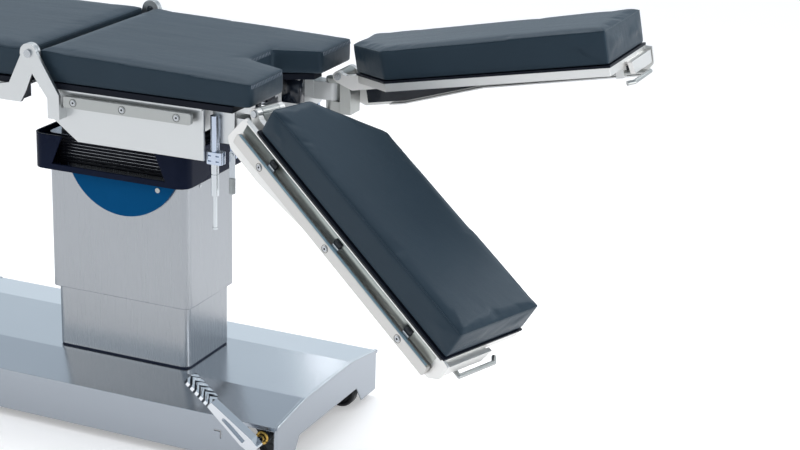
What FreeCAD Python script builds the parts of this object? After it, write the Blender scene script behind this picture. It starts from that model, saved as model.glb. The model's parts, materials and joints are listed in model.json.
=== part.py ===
import FreeCAD, Part
import math
import os

# Operating table with a split leg section.
# Millimetres. +X runs along the table towards the foot end, +Y to the far side, +Z up.
# The model is built about the lift column's axis, with the floor at z = 0, and is moved at the
# end so that the origin is the centre of the whole table's outline on the floor.

V = FreeCAD.Vector
NEAR = -1
FAR = 1

# Heights
TOP_PLATE_Z = 808.0        # underside of the plates that carry the pads
TOP_PLATE_T = 13.0
PAD_Z = TOP_PLATE_Z + TOP_PLATE_T
PAD_THICK = 72.0
PAD_FOOT_THICK = 54.0      # the seat pad falls away towards its foot end
PAD_HALF_W = 250.0
PAD_CORNER_R = 10.0
PAD_CLEAR = 0.3            # between a soft pad and the hard piece below it

# Base
BASE_FOOT_X = 490.0
BASE_HEAD_X = -600.0
BASE_HALF_W = 260.0
BASE_FLAT_HALF_W = 121.0
BASE_EDGE_Z = 118.0
BASE_FLAT_Z = 137.0
BASE_SKIRT_Z = 20.0
BASE_SHEET = 3.0
BASE_LIP_W = 6.0           # folded lip round both ends
BASE_LIP_T = 1.5
ARCH_HALF_W = BASE_HALF_W - 110.0
ARCH_Z = 60.0
ARCH_SLANT = 28.0
BEAM_Y = 74.0              # of the chassis beams inside
BEAM_HALF_W = 22.0
BEAM_LOW_Z = 56.0
BEAM_TOP_Z = 102.0
FOOT_HALF_X = 150.0        # of the mast's foot
TAB_SLOT_X = 351.0         # slot of the pull tab in the near skirt
TAB_SLOT_Z = 84.0
TAB_SLOT_LEN = 18.0
TAB_SLOT_W = 3.0

# Column
LOWER_HALF_X = 176.0
LOWER_HALF_Y = 102.0
UPPER_HALF_X = 185.5
UPPER_HALF_Y = 111.5
COLUMN_SHEET = 2.5
COLUMN_CORNER_R = 18.0
GASKET_T = 4.0
LOWER_TOP_Z = 520.0
UPPER_LOW_Z = 288.0
HEAD_PLATE_Z = 650.0
HEAD_PLATE_T = 12.0
MAST_HALF_X = 110.0
MAST_HALF_Y = 50.0
CARRIAGE_WALL = 12.0
CARRIAGE_LOW_Z = 265.0
SLIDE_GAP = 0.5
SHELL_HALF_X = 204.0
SHELL_HALF_Y = 150.0
SHELL_LOW_Z = 586.0
SHELL_TOP_Z = 668.0
SHELL_WALL = 4.0
TRAY_ARCH_X = (120.0, 150.0)  # half widths of the shell's side openings, top and bottom
DISC_R = 150.0
DISC_X = 20.0
DISC_Z = 642.0
DISC_T = 8.0

# Tilt head on the column: a cross with two pairs of trunnions
TILT_Z = 740.0
TRUNNION_R = 16.0
TRUNNION_GAP = 0.05
EAR_Y = 62.0               # inner face of the ears that carry the long tilt
EAR_T = 20.0
HUB_R = 28.0               # round the trunnions
BELLOWS_PLEATS = 6
BELLOWS_PITCH = 11.0
BELLOWS_HALF_X = 160.0
BELLOWS_HALF_Y = 106.0
BELLOWS_FOLD = 10.0        # depth of a pleat
BELLOWS_WALL = 5.0
CRADLE_X = 62.0            # inner face of the plates that carry the side tilt
CRADLE_T = 20.0

# Seat section
SEAT_FOOT_X = 418.0
SEAT_HEAD_X = -112.0
SIDE_PLATE_Y = PAD_HALF_W - 16.0  # inner face
SIDE_PLATE_T = 6.0
SIDE_PLATE_Z = 692.0
SIDE_PLATE_FOOT_X = 300.0
SEAT_FRAME_HEAD_X = -78.0
SEAT_BEVEL = (60.0, 43.0)  # the side plates' lower corner at the head end
CHANNEL_X = (232.0, 268.0) # cross channel under the seat
CHANNEL_T = 6.0
CHANNEL_H = 70.0
SADDLE_HALF_W = 120.0      # block between the cross channel and the leg brackets
SADDLE_H = 30.0
SEAT_PLATE_FOOT_X = 396.0
CORNER_CUT = (374.0, 132.0)  # the seat plate is cut back from here over the leg hinges
FLANGE_W = 8.0
FLANGE_T = 4.0
CUTOUT_HALF_W = 95.0
CUTOUT_HEAD_HALF_W = 50.0
CUTOUT_DEPTH = 102.0
RAIL_H = 25.0
RAIL_T = 10.0
RAIL_Z = 773.0
RAIL_STANDOFF = 12.0
RAIL_HEAD_X = -40.0
RAIL_FOOT_X = 281.0
SPACER_R = 8.0
SCREW_R = 6.0
SCREW_HEAD_T = 1.5

# Leg hinges: an upright spread pin, then a level tilt pin in the block it carries
SPREAD_X = 405.0
SPREAD_Y = PAD_HALF_W - 66.0
TILT_PIN_X = 25.0          # from the spread pin
PIN_R = 8.0
PIN_GAP = 0.05
KNUCKLE_R = 12.5
KNUCKLE_HALF_W = 25.0
CHEEK_GAP = 0.7
CHEEK_T = 14.0
LUG_R = 20.0
BRACKET_HEAD_X = 306.0
BRACKET_FOOT_X = 360.0
BRACKET_Y = (92.0, PAD_HALF_W - 40.0)
BRACKET_WALL = 8.0
BRACKET_LOW_Z = 728.0
TONGUE_LOW_Z = 745.0
TONGUE_TOP_Z = 786.0
BLOCK_LOW_Z = 718.0
LUG_GAP = 0.5

# Leg locks, each on a round post beside its bracket
LOCK_X = 316.0
LOCK_POST_R = 9.5
LOCK_Y = BRACKET_Y[1] + LOCK_POST_R
LOCK_POST_TOP_Z = 790.0
LOCK_BLOCK_X = (299.0, 338.0)
LOCK_BLOCK_HALF_W = 12.0
LOCK_BLOCK_Z = (684.0, 711.0)
LOCK_SLEEVE_R = 8.5
LOCK_SLEEVE_Z = 612.0
LOCK_ROD_R = 4.5
LOCK_TIP_Z = 536.0
LOCK_PIN_R = 5.0
LATCH_PIN_X = 351.0
LATCH_PIN_Z = 705.0
LATCH_Y = BRACKET_Y[1] - 6.0
LATCH_PIN_R = 4.0
LATCH_T = 5.0
LATCH_GRIP_Z = (617.0, 653.0)
LATCH_GRIP_R = 7.0

# Legs, in their own frame: a along the leg, b outwards, c up, from the tilt pin
LEG_START = 45.0
LEG_LEN = 638.0
LEG_OUT = 71.0
LEG_WIDE = 242.0
LEG_NARROW = 112.0
LEG_TAPER = 128.0
LEG_TOP_C = 0.4            # underside of the leg's board
LEG_BOARD_T = 5.0
LEG_PAD_C = LEG_TOP_C + LEG_BOARD_T
LEG_PAD_HINGE_T = 67.0
LEG_PAD_FOOT_T = 74.0
RIM_H = 18.0
RIM_T = 6.0
GUSSET_T = 6.0
GUSSET_C = -90.0
GUSSET_FOOT_C = -63.0      # lower edge of the side plate along the rail
GUSSET_A = (113.0, 310.0)  # the lower edge rises between these
LEG_FLANGE_T = 3.0
LEG_FLANGE_W = 14.0
LEG_FLANGE_A = 75.0        # the inward flange starts clear of the bracket
LEG_LIP_W = 7.0
LEG_RAIL_C = -59.0
LEG_SCREWS = (101.0, 334.0, 579.0)
LEG_SPACERS = (124.0, 349.0, 585.0)
SPACER_SIZE = (18.0, 8.0, 22.0)
NEAR_TILT = -34.0
NEAR_SPREAD = 18.5
FAR_TILT = 10.6
FAR_SPREAD = 0.0
SPREAD_MAX = 30.0
TILT_UP_MAX = 12.0
TILT_DOWN_MAX = 50.0
HINGE_NOTCH = 92.0         # the pan is open round the hinge block up to here
HANDLE_B = 10.0            # release handle's shaft
HANDLE_C = -46.0
HANDLE_ROD_R = 5.0
HANDLE_RANGE = (0.0, 35.0)

# Back and head sections
BACK_PIVOT = (-122.5, 886.0)
SECTION_GAP = 21.0
BACK_LEN = 620.0
PAD_END_SLANT = 12.0       # the pads' ends at the back's hinge lean away from it, downwards
HINGE_FOOT_X = (-76.0, -46.0)
HINGE_PLATE_T = 8.0
HINGE_PLATE_R = 22.0
HINGE_PIN_R = 9.0
HEAD_LEN = 270.0
HEAD_THICK = 60.0
HEAD_PIVOT_Z = 852.0
BEAM_W = 40.0
BEAM_H = 40.0
TUBE_HALF_W = 15.0
TUBE_H = 30.0
HEAD_BEAM = 28.0
ARM_LOW_Z = TOP_PLATE_Z - 37.0  # hinge arms beside the beams
ARM_TOP_Z = TOP_PLATE_Z - 8.0

# Castors
CASTOR_R = 38.0
CASTOR_W = 26.0
CASTOR_TRAIL = 28.0
CASTOR_Y = BASE_HALF_W - 88.0
CASTOR_FOOT_X = 412.0
CASTOR_HEAD_X = -522.0
CASTOR_PLATE_Z = 90.0
AXLE_R = 6.0

# Foot pedal on the near side of the base
PEDAL_PIVOT = (452.0, 88.0)
PEDAL_Y = -BASE_HALF_W - 40.0
PEDAL_W = 26.0
PEDAL_TIP = (352.0, 168.0)
TREAD_LEN = 74.0
TREAD_W = 46.0
TREAD_T = 9.0
CHEVRONS = 4
CHEVRON_PITCH = 16.0


def box(x, y, z):
    """A block from three (low, high) pairs."""
    return Part.makeBox(x[1] - x[0], y[1] - y[0], z[1] - z[0], V(x[0], y[0], z[0]))


def rod(radius, start, end):
    """A round bar between two points."""
    start, end = V(*start), V(*end)
    return Part.makeCylinder(radius, (end - start).Length, start, end - start)


def prism(points, plane, low, high):
    """A flat outline in plane xy, xz or yz, pushed from low to high along the third axis."""
    place = {
        "xy": (lambda u, v: V(u, v, low), V(0, 0, high - low)),
        "xz": (lambda u, v: V(u, low, v), V(0, high - low, 0)),
        "yz": (lambda u, v: V(low, u, v), V(high - low, 0, 0)),
    }
    to_point, push = place[plane]
    corners = [to_point(u, v) for u, v in points]
    return Part.Face(Part.makePolygon(corners + corners[:1])).extrude(push)


def round_edges(shape, axis, radius, keep=lambda middle: True):
    """Rounds the straight edges that run along an axis and pass the test on their middle."""
    chosen = []
    for edge in shape.Edges:
        if edge.Curve.TypeId != "Part::GeomLine":
            continue
        run = edge.lastVertex().Point - edge.firstVertex().Point
        if abs(run.normalize().dot(axis)) > 0.999 and keep(edge.CenterOfMass):
            chosen.append(edge)
    return shape.makeFillet(radius, chosen)


def fuse(shapes):
    return shapes[0].multiFuse(shapes[1:]).removeSplitter()


def group(shapes):
    return Part.makeCompound(shapes)


def other_side(shape):
    """The same piece on the other side of the table's long middle plane."""
    return shape.mirror(V(0, 0, 0), V(0, 1, 0))


def on_side(shape, side):
    return shape if side == FAR else other_side(shape)


def rounded_tube(half_x, half_y, wall, low, high, radius):
    """An upright cover with rounded corners, open at both ends."""
    outer = round_edges(box((-half_x, half_x), (-half_y, half_y), (low, high)), V(0, 0, 1), radius)
    inner = box(
        (wall - half_x, half_x - wall),
        (wall - half_y, half_y - wall),
        (low - 1, high + 1),
    )
    return outer.cut(round_edges(inner, V(0, 0, 1), radius - wall))


# Base

def base_outline(inset, low):
    """Half roof outline of the base cover across the table, as (y, z) corners."""
    wide = BASE_HALF_W - inset
    flat = BASE_FLAT_HALF_W - inset * 0.1
    return [
        (-wide, low), (-wide, BASE_EDGE_Z - inset), (-flat, BASE_FLAT_Z - inset),
        (flat, BASE_FLAT_Z - inset), (wide, BASE_EDGE_Z - inset), (wide, low),
    ]


def base_cover():
    """Folded sheet cover with an arch in each end and a window beside the pedal."""
    outer = prism(base_outline(0, BASE_SKIRT_Z), "yz", BASE_HEAD_X, BASE_FOOT_X)
    outer = round_edges(outer, V(0, 0, 1), 5.0)
    inner = prism(
        base_outline(BASE_SHEET, BASE_SKIRT_Z - 1),
        "yz", BASE_HEAD_X + BASE_SHEET, BASE_FOOT_X - BASE_SHEET,
    )
    cover = outer.cut(inner)
    arch_foot = ARCH_HALF_W + ARCH_SLANT
    arch = [
        (-arch_foot, BASE_SKIRT_Z - 1), (-arch_foot, BASE_SKIRT_Z), (-ARCH_HALF_W, ARCH_Z),
        (ARCH_HALF_W, ARCH_Z), (arch_foot, BASE_SKIRT_Z), (arch_foot, BASE_SKIRT_Z - 1),
    ]
    cover = cover.cut(prism(arch, "yz", BASE_HEAD_X - 10, BASE_FOOT_X + 10))
    outer_lip = prism(base_outline(-BASE_LIP_T, BASE_EDGE_Z - BASE_LIP_W), "yz",
                      BASE_HEAD_X - BASE_LIP_T, BASE_FOOT_X + BASE_LIP_T)
    between = box((BASE_HEAD_X + BASE_LIP_W, BASE_FOOT_X - BASE_LIP_W), (-BASE_HALF_W - 5, BASE_HALF_W + 5),
                  (0, BASE_FLAT_Z + 5))
    under_lip = prism(base_outline(BASE_SHEET, 0), "yz", BASE_HEAD_X - 10, BASE_FOOT_X + 10)
    cover = fuse([cover, outer_lip.cut(between).cut(under_lip)])
    skirt = (-BASE_HALF_W - 5, BASE_SHEET + 1 - BASE_HALF_W)
    slot_low = TAB_SLOT_Z - TAB_SLOT_LEN
    cover = cover.cut(box((TAB_SLOT_X - TAB_SLOT_LEN, TAB_SLOT_X), skirt,
                          (TAB_SLOT_Z - TAB_SLOT_W, TAB_SLOT_Z)))
    cover = cover.cut(box((TAB_SLOT_X - TAB_SLOT_W, TAB_SLOT_X), skirt, (slot_low, TAB_SLOT_Z)))
    pivot_x, pivot_z = PEDAL_PIVOT
    window = box((pivot_x - 34, pivot_x + 30), (-BASE_HALF_W - 1, 1 - BASE_HALF_W + BASE_SHEET),
                 (BASE_SKIRT_Z - 1, pivot_z + 20))
    mast_hole = box(
        (-MAST_HALF_X - 2, MAST_HALF_X + 2), (-MAST_HALF_Y - 2, MAST_HALF_Y + 2),
        (BASE_EDGE_Z, BASE_FLAT_Z + 1),
    )
    return cover.cut(window).cut(mast_hole)


def base_frame():
    """Two long beams, cross plates over the castors and the pedal's bearing block."""
    beams = [
        box((BASE_HEAD_X + 12, BASE_FOOT_X - 12), (side * BEAM_Y - BEAM_HALF_W, side * BEAM_Y + BEAM_HALF_W),
            (BEAM_LOW_Z, BEAM_TOP_Z))
        for side in (NEAR, FAR)
    ]
    plates = [
        box((x - 42, x + 42), (-CASTOR_Y - 45, CASTOR_Y + 45), (CASTOR_PLATE_Z, BEAM_TOP_Z))
        for x in (CASTOR_FOOT_X, CASTOR_HEAD_X)
    ]
    centre = box((-FOOT_HALF_X, FOOT_HALF_X), (-127, 127), (BEAM_LOW_Z, BEAM_TOP_Z))
    pivot_x, pivot_z = PEDAL_PIVOT
    inner_y = -CASTOR_Y - 10
    bearing = fuse([
        rod(PIN_R + 7, (pivot_x, -BASE_HALF_W + 6, pivot_z), (pivot_x, -BASE_HALF_W + 36, pivot_z)),
        box((pivot_x - 12, pivot_x + 12), (-BASE_HALF_W + 14, inner_y), (pivot_z - 6, BEAM_TOP_Z)),
        box((CASTOR_FOOT_X, pivot_x + 12), (inner_y - 30, inner_y), (CASTOR_PLATE_Z, BEAM_TOP_Z)),
    ])
    bore = rod(PIN_R + PIN_GAP, (pivot_x, -BASE_HALF_W, pivot_z), (pivot_x, -CASTOR_Y - 28, pivot_z))
    return fuse(beams + plates + [centre, bearing]).cut(bore)


def mast():
    """Fixed guide of the lift, on a foot that fills the space up to the cover."""
    foot_top = BASE_FLAT_Z - BASE_SHEET
    foot = box((-FOOT_HALF_X, FOOT_HALF_X), (-105, 105), (BEAM_TOP_Z, foot_top))
    guide = box((-MAST_HALF_X, MAST_HALF_X), (-MAST_HALF_Y, MAST_HALF_Y), (foot_top, LOWER_TOP_Z))
    return fuse([foot, round_edges(guide, V(0, 0, 1), 8.0)])


def column_gasket():
    return rounded_tube(LOWER_HALF_X - 1, LOWER_HALF_Y - 1, COLUMN_SHEET + 4, BASE_FLAT_Z,
                        BASE_FLAT_Z + GASKET_T, COLUMN_CORNER_R)


def column_lower_cover():
    return rounded_tube(LOWER_HALF_X, LOWER_HALF_Y, COLUMN_SHEET, BASE_FLAT_Z + GASKET_T,
                        LOWER_TOP_Z, COLUMN_CORNER_R)


def castor_fork():
    """Swivel head and fork, about its own swivel axis, trailing along +X."""
    centre_z = CASTOR_R
    plate = rod(24, (0, 0, CASTOR_PLATE_Z - 6), (0, 0, CASTOR_PLATE_Z))
    cheek_in = CASTOR_W / 2 + 1.5
    arms = []
    for side in (NEAR, FAR):
        outline = [(-18, CASTOR_PLATE_Z - 6), (18, CASTOR_PLATE_Z - 6),
                   (CASTOR_TRAIL + 13, centre_z + 4), (CASTOR_TRAIL + 9, centre_z - 10),
                   (CASTOR_TRAIL - 9, centre_z - 10)]
        low, high = sorted((side * cheek_in, side * (cheek_in + 4)))
        arms.append(prism(outline, "xz", low, high))
    crown = box((-18, 18), (-cheek_in - 4, cheek_in + 4), (CASTOR_PLATE_Z - 9, CASTOR_PLATE_Z - 5))
    axle = rod(AXLE_R, (CASTOR_TRAIL, -cheek_in - 6, centre_z), (CASTOR_TRAIL, cheek_in + 6, centre_z))
    return fuse([plate, crown, axle] + arms)


def castor_wheel():
    """Tyre with a crowned tread and dished sides, turned about its axle."""
    half = CASTOR_W / 2
    bore = AXLE_R + PIN_GAP
    profile = [(half, bore), (half, 13), (half - 4, 17), (half - 4, 27), (half, 31),
               (half, CASTOR_R - 3), (half - 4, CASTOR_R), (4 - half, CASTOR_R),
               (-half, CASTOR_R - 3), (-half, 31), (4 - half, 27), (4 - half, 17),
               (-half, 13), (-half, bore)]
    corners = [V(0, y, r) for y, r in profile]
    face = Part.Face(Part.makePolygon(corners + corners[:1]))
    wheel = face.revolve(V(0, 0, 0), V(0, 1, 0), 360)
    wheel.translate(V(CASTOR_TRAIL, 0, CASTOR_R))
    return wheel


def place_castor(shape, number):
    """Castors 1 and 2 stand at the foot end, 3 and 4 at the head end; odd ones are near."""
    side = NEAR if number % 2 else FAR
    at_foot = number <= 2
    placed = shape.copy()
    if not at_foot:
        placed.rotate(V(0, 0, 0), V(0, 0, 1), 180)
    placed.translate(V(CASTOR_FOOT_X if at_foot else CASTOR_HEAD_X, side * CASTOR_Y, 0))
    return placed


def pedal_direction():
    run = V(PEDAL_TIP[0] - PEDAL_PIVOT[0], 0, PEDAL_TIP[1] - PEDAL_PIVOT[1])
    return run.normalize()


def pedal_arm():
    """Forged lever with a long pocket in its outer side, on the shaft through the skirt."""
    length = math.hypot(PEDAL_TIP[0] - PEDAL_PIVOT[0], PEDAL_TIP[1] - PEDAL_PIVOT[1])
    half = PEDAL_W / 2
    outline = [(-14, -12), (20, -17), (length, -10), (length, 6), (10, 15), (-14, 12)]
    arm = prism(outline, "xz", -half, half)
    arm = round_edges(arm, V(0, 1, 0), 5.0, lambda middle: middle.x < 15)
    pocket = prism([(18, -9), (length - 42, -6), (length - 42, 2), (18, 7)], "xz", -half - 1, 7 - half)
    arm = arm.cut(round_edges(pocket, V(0, 1, 0), 3.0))
    shaft = rod(PIN_R, (0, half - 2, 0), (0, -PEDAL_Y - BASE_HALF_W + 34, 0))
    lever = fuse([arm, shaft])
    return place_pedal(lever)


def pedal_tread():
    """Plate with raised chevron ribs, on the lever's tip."""
    length = math.hypot(PEDAL_TIP[0] - PEDAL_PIVOT[0], PEDAL_TIP[1] - PEDAL_PIVOT[1])
    half = TREAD_W / 2
    top = TREAD_T - 3
    plate = box((length, length + TREAD_LEN), (-half, half), (-3, top))
    plate = round_edges(plate, V(0, 0, 1), 6.0)
    rim = half - 5
    ribs = []
    for step in range(CHEVRONS):
        start = length + 8 + step * CHEVRON_PITCH
        ribs.append(prism([(start, -rim), (start + 8, 0), (start, rim), (start + 5, rim),
                           (start + 13, 0), (start + 5, -rim)], "xy", top, top + 2.5))
    return place_pedal(fuse([plate] + ribs))


def place_pedal(shape):
    """Turns a piece drawn along +X so that it runs from the pedal's pivot to its tip."""
    run = pedal_direction()
    rise = math.degrees(math.atan2(run.z, -run.x))
    placed = shape.copy()
    placed = placed.mirror(V(0, 0, 0), V(1, 0, 0))
    placed.rotate(V(0, 0, 0), V(0, 1, 0), rise)
    placed.translate(V(PEDAL_PIVOT[0], PEDAL_Y, PEDAL_PIVOT[1]))
    return placed


# Lift column, moving part

def column_upper_cover():
    return rounded_tube(UPPER_HALF_X, UPPER_HALF_Y, COLUMN_SHEET, UPPER_LOW_Z,
                        HEAD_PLATE_Z, COLUMN_CORNER_R)


def lift_carriage():
    """Box slide round the mast, the head plate and the ears of the long tilt."""
    inner_x = MAST_HALF_X + SLIDE_GAP
    inner_y = MAST_HALF_Y + SLIDE_GAP
    slide = box((-inner_x - CARRIAGE_WALL, inner_x + CARRIAGE_WALL),
                (-inner_y - CARRIAGE_WALL, inner_y + CARRIAGE_WALL), (CARRIAGE_LOW_Z, HEAD_PLATE_Z))
    hollow = box((-inner_x, inner_x), (-inner_y, inner_y), (CARRIAGE_LOW_Z - 1, HEAD_PLATE_Z))
    plate = round_edges(
        box((-UPPER_HALF_X, UPPER_HALF_X), (-UPPER_HALF_Y, UPPER_HALF_Y),
            (HEAD_PLATE_Z, HEAD_PLATE_Z + HEAD_PLATE_T)), V(0, 0, 1), COLUMN_CORNER_R)
    ears = []
    for side in (NEAR, FAR):
        low, high = sorted((side * EAR_Y, side * (EAR_Y + EAR_T)))
        outline = [(-60, HEAD_PLATE_Z + HEAD_PLATE_T), (60, HEAD_PLATE_Z + HEAD_PLATE_T),
                   (HUB_R, TILT_Z), (-HUB_R, TILT_Z)]
        ear = fuse([prism(outline, "xz", low, high), rod(HUB_R, (0, low, TILT_Z), (0, high, TILT_Z))])
        ears.append(ear)
    bore = rod(TRUNNION_R + TRUNNION_GAP, (0, -EAR_Y - EAR_T - 1, TILT_Z), (0, EAR_Y + EAR_T + 1, TILT_Z))
    return fuse([slide.cut(hollow), plate] + ears).cut(bore)


def head_shell():
    """Moulded tray round the top of the column, with an arched opening in each long side."""
    outer = round_edges(box((-SHELL_HALF_X, SHELL_HALF_X), (-SHELL_HALF_Y, SHELL_HALF_Y),
                            (SHELL_LOW_Z, SHELL_TOP_Z)), V(0, 0, 1), 30.0)
    inner = round_edges(box((SHELL_WALL - SHELL_HALF_X, SHELL_HALF_X - SHELL_WALL),
                            (SHELL_WALL - SHELL_HALF_Y, SHELL_HALF_Y - SHELL_WALL),
                            (SHELL_LOW_Z + SHELL_WALL, SHELL_TOP_Z + 1)), V(0, 0, 1), 26.0)
    well = round_edges(box((-UPPER_HALF_X, UPPER_HALF_X), (-UPPER_HALF_Y, UPPER_HALF_Y),
                           (SHELL_LOW_Z - 1, SHELL_TOP_Z)), V(0, 0, 1), COLUMN_CORNER_R)
    arch_low = SHELL_LOW_Z + 14
    top_x, low_x = TRAY_ARCH_X
    arch = prism([(-low_x, arch_low), (low_x, arch_low), (top_x, SHELL_TOP_Z + 1), (-top_x, SHELL_TOP_Z + 1)],
                 "xz", -SHELL_HALF_Y - 1, SHELL_HALF_Y + 1)
    middle = box((-SHELL_HALF_X, SHELL_HALF_X), (20 - SHELL_HALF_Y, SHELL_HALF_Y - 20),
                 (SHELL_LOW_Z, SHELL_TOP_Z + 2))
    return outer.cut(inner).cut(well).cut(arch.cut(middle))


def bellows():
    """Pleated sleeve round the tilt head: narrow and wide rings by turns on the head plate."""
    low = HEAD_PLATE_Z + HEAD_PLATE_T
    half_pitch = BELLOWS_PITCH / 2
    rings = []
    for step in range(2 * BELLOWS_PLEATS):
        wide = step % 2 == 0
        inset = 0.0 if wide else BELLOWS_FOLD
        wall = BELLOWS_WALL + (BELLOWS_FOLD if wide else 0.0)
        rings.append(rounded_tube(BELLOWS_HALF_X - inset, BELLOWS_HALF_Y - inset, wall,
                                  low + step * half_pitch, low + (step + 1) * half_pitch, 22.0))
    return fuse(rings)


def pivot_discs():
    """Flat half-round covers on both long faces of the column, hidden above by the tray."""
    discs = []
    for side in (NEAR, FAR):
        low, high = sorted((side * UPPER_HALF_Y, side * (UPPER_HALF_Y + DISC_T)))
        disc = rod(DISC_R, (DISC_X, low, DISC_Z), (DISC_X, high, DISC_Z))
        above = box((-300, 300), (low - 1, high + 1), (SHELL_LOW_Z, DISC_Z + DISC_R + 1))
        discs.append(disc.cut(above))
    return group(discs)


def tilt_cross():
    """Cross-shaped block: trunnions along Y turn in the ears, trunnions along X in the cradle."""
    block = round_edges(box((-CRADLE_X + 1, CRADLE_X - 1), (-34, 34), (TILT_Z - 30, TILT_Z + 30)),
                        V(1, 0, 0), 8.0)
    wide = box((-30, 30), (-EAR_Y + 1, EAR_Y - 1), (TILT_Z - 26, TILT_Z + 26))
    reach_y = EAR_Y + EAR_T + 6
    reach_x = CRADLE_X + CRADLE_T + 6
    along_y = rod(TRUNNION_R, (0, -reach_y, TILT_Z), (0, reach_y, TILT_Z))
    along_x = rod(TRUNNION_R, (-reach_x, 0, TILT_Z), (reach_x, 0, TILT_Z))
    return fuse([block, wide, along_y, along_x])


# Seat section

def seat_cradle():
    """Two hanging plates on the cross, joined by a top plate under the seat frame."""
    top_low = TOP_PLATE_Z - 16.0
    plates = []
    for end in (-1, 1):
        low, high = sorted((end * CRADLE_X, end * (CRADLE_X + CRADLE_T)))
        outline = [(-HUB_R, TILT_Z), (HUB_R, TILT_Z), (70, top_low), (-70, top_low)]
        plates.append(prism(outline, "yz", low, high))
        plates.append(rod(HUB_R, (low, 0, TILT_Z), (high, 0, TILT_Z)))
    reach = CRADLE_X + CRADLE_T
    top = box((-reach - 18, reach + 18), (-SIDE_PLATE_Y, SIDE_PLATE_Y), (top_low, TOP_PLATE_Z))
    bore = rod(TRUNNION_R + TRUNNION_GAP, (-reach - 1, 0, TILT_Z), (reach + 1, 0, TILT_Z))
    return fuse(plates + [top]).cut(bore)


def seat_frame():
    """Deep side plates with a folded top flange, tied by a cross channel and a saddle block."""
    parts = []
    bevel_x, bevel_z = SEAT_BEVEL
    outline = [(SEAT_FRAME_HEAD_X, SIDE_PLATE_Z + bevel_z), (SEAT_FRAME_HEAD_X + bevel_x, SIDE_PLATE_Z),
               (SIDE_PLATE_FOOT_X, SIDE_PLATE_Z), (SIDE_PLATE_FOOT_X, TOP_PLATE_Z),
               (SEAT_FRAME_HEAD_X, TOP_PLATE_Z)]
    for side in (NEAR, FAR):
        low, high = sorted((side * SIDE_PLATE_Y, side * (SIDE_PLATE_Y + SIDE_PLATE_T)))
        parts.append(prism(outline, "xz", low, high))
        outer = side * (SIDE_PLATE_Y + SIDE_PLATE_T)
        low, high = sorted((outer, outer + side * FLANGE_W))
        parts.append(box((SEAT_FRAME_HEAD_X, SIDE_PLATE_FOOT_X), (low, high),
                         (TOP_PLATE_Z - FLANGE_T, TOP_PLATE_Z)))
    across = (-SIDE_PLATE_Y, SIDE_PLATE_Y)
    head_x, foot_x = CHANNEL_X
    for x in (head_x, foot_x - CHANNEL_T):
        parts.append(box((x, x + CHANNEL_T), across, (TOP_PLATE_Z - CHANNEL_H, TOP_PLATE_Z)))
    parts.append(box(CHANNEL_X, across, (TOP_PLATE_Z - CHANNEL_T, TOP_PLATE_Z)))
    parts.append(box((foot_x - CHANNEL_T, BRACKET_HEAD_X), (-SADDLE_HALF_W, SADDLE_HALF_W),
                     (TOP_PLATE_Z - SADDLE_H, TOP_PLATE_Z)))
    return fuse(parts)


def seat_outline(inset, end_x):
    """Plan of the seat with its cut-out, as (x, y) corners; the foot end is at end_x."""
    wide = PAD_HALF_W - inset
    mouth = CUTOUT_HALF_W + inset * 0.5
    root = CUTOUT_HEAD_HALF_W + inset * 0.5
    depth = SEAT_FOOT_X - CUTOUT_DEPTH - inset * 0.5
    return [
        (SEAT_HEAD_X + inset, -wide), (end_x, -wide), (end_x, -mouth), (depth, -root),
        (depth, root), (end_x, mouth), (end_x, wide), (SEAT_HEAD_X + inset, wide),
    ]


def seat_base_plate():
    """Plate under the seat pad, cut back at both corners over the leg hinges."""
    plate = prism(seat_outline(2.0, SEAT_PLATE_FOOT_X), "xy", TOP_PLATE_Z, PAD_Z)
    cut_x, cut_y = CORNER_CUT
    for side in (NEAR, FAR):
        low, high = sorted((side * cut_y, side * (PAD_HALF_W + 5)))
        plate = plate.cut(box((cut_x, SEAT_PLATE_FOOT_X + 4), (low, high), (TOP_PLATE_Z - 1, PAD_Z + 1)))
    return plate


def seat_pad():
    """Soft pad with the cut-out, falling away to the foot end."""
    low = PAD_Z + PAD_CLEAR
    plan = prism(seat_outline(0.0, SEAT_FOOT_X), "xy", low, PAD_Z + PAD_THICK + 1)
    side = [(SEAT_HEAD_X + PAD_END_SLANT, low), (SEAT_FOOT_X + 1, low),
            (SEAT_FOOT_X + 1, PAD_Z + PAD_FOOT_THICK), (SEAT_HEAD_X, PAD_Z + PAD_THICK)]
    pad = plan.common(prism(side, "xz", -PAD_HALF_W - 1, PAD_HALF_W + 1))
    return round_edges(pad, V(0, 0, 1), PAD_CORNER_R,
                       lambda middle: middle.x > SEAT_FOOT_X - 1 and abs(middle.y) > CUTOUT_HALF_W + 1)


def side_rail(head_x, foot_x):
    """One far-side rail bar; the near one is its mirror image."""
    inner = SIDE_PLATE_Y + SIDE_PLATE_T + RAIL_STANDOFF
    bar = box((head_x, foot_x), (inner, inner + RAIL_T), (RAIL_Z, RAIL_Z + RAIL_H))
    return round_edges(bar, V(0, 1, 0), 5.0)


def rail_fixing(x):
    """Spacer behind the far rail and the screw head on its face."""
    plate = SIDE_PLATE_Y + SIDE_PLATE_T
    rail = plate + RAIL_STANDOFF
    z = RAIL_Z + RAIL_H / 2
    spacer = rod(SPACER_R, (x, plate, z), (x, rail, z))
    head = rod(SCREW_R, (x, rail + RAIL_T, z), (x, rail + RAIL_T + SCREW_HEAD_T, z))
    return [spacer, head]


def both_sides(shapes):
    return group(shapes + [other_side(shape) for shape in shapes])


def seat_rails():
    return both_sides([side_rail(RAIL_HEAD_X, RAIL_FOOT_X)])


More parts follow.
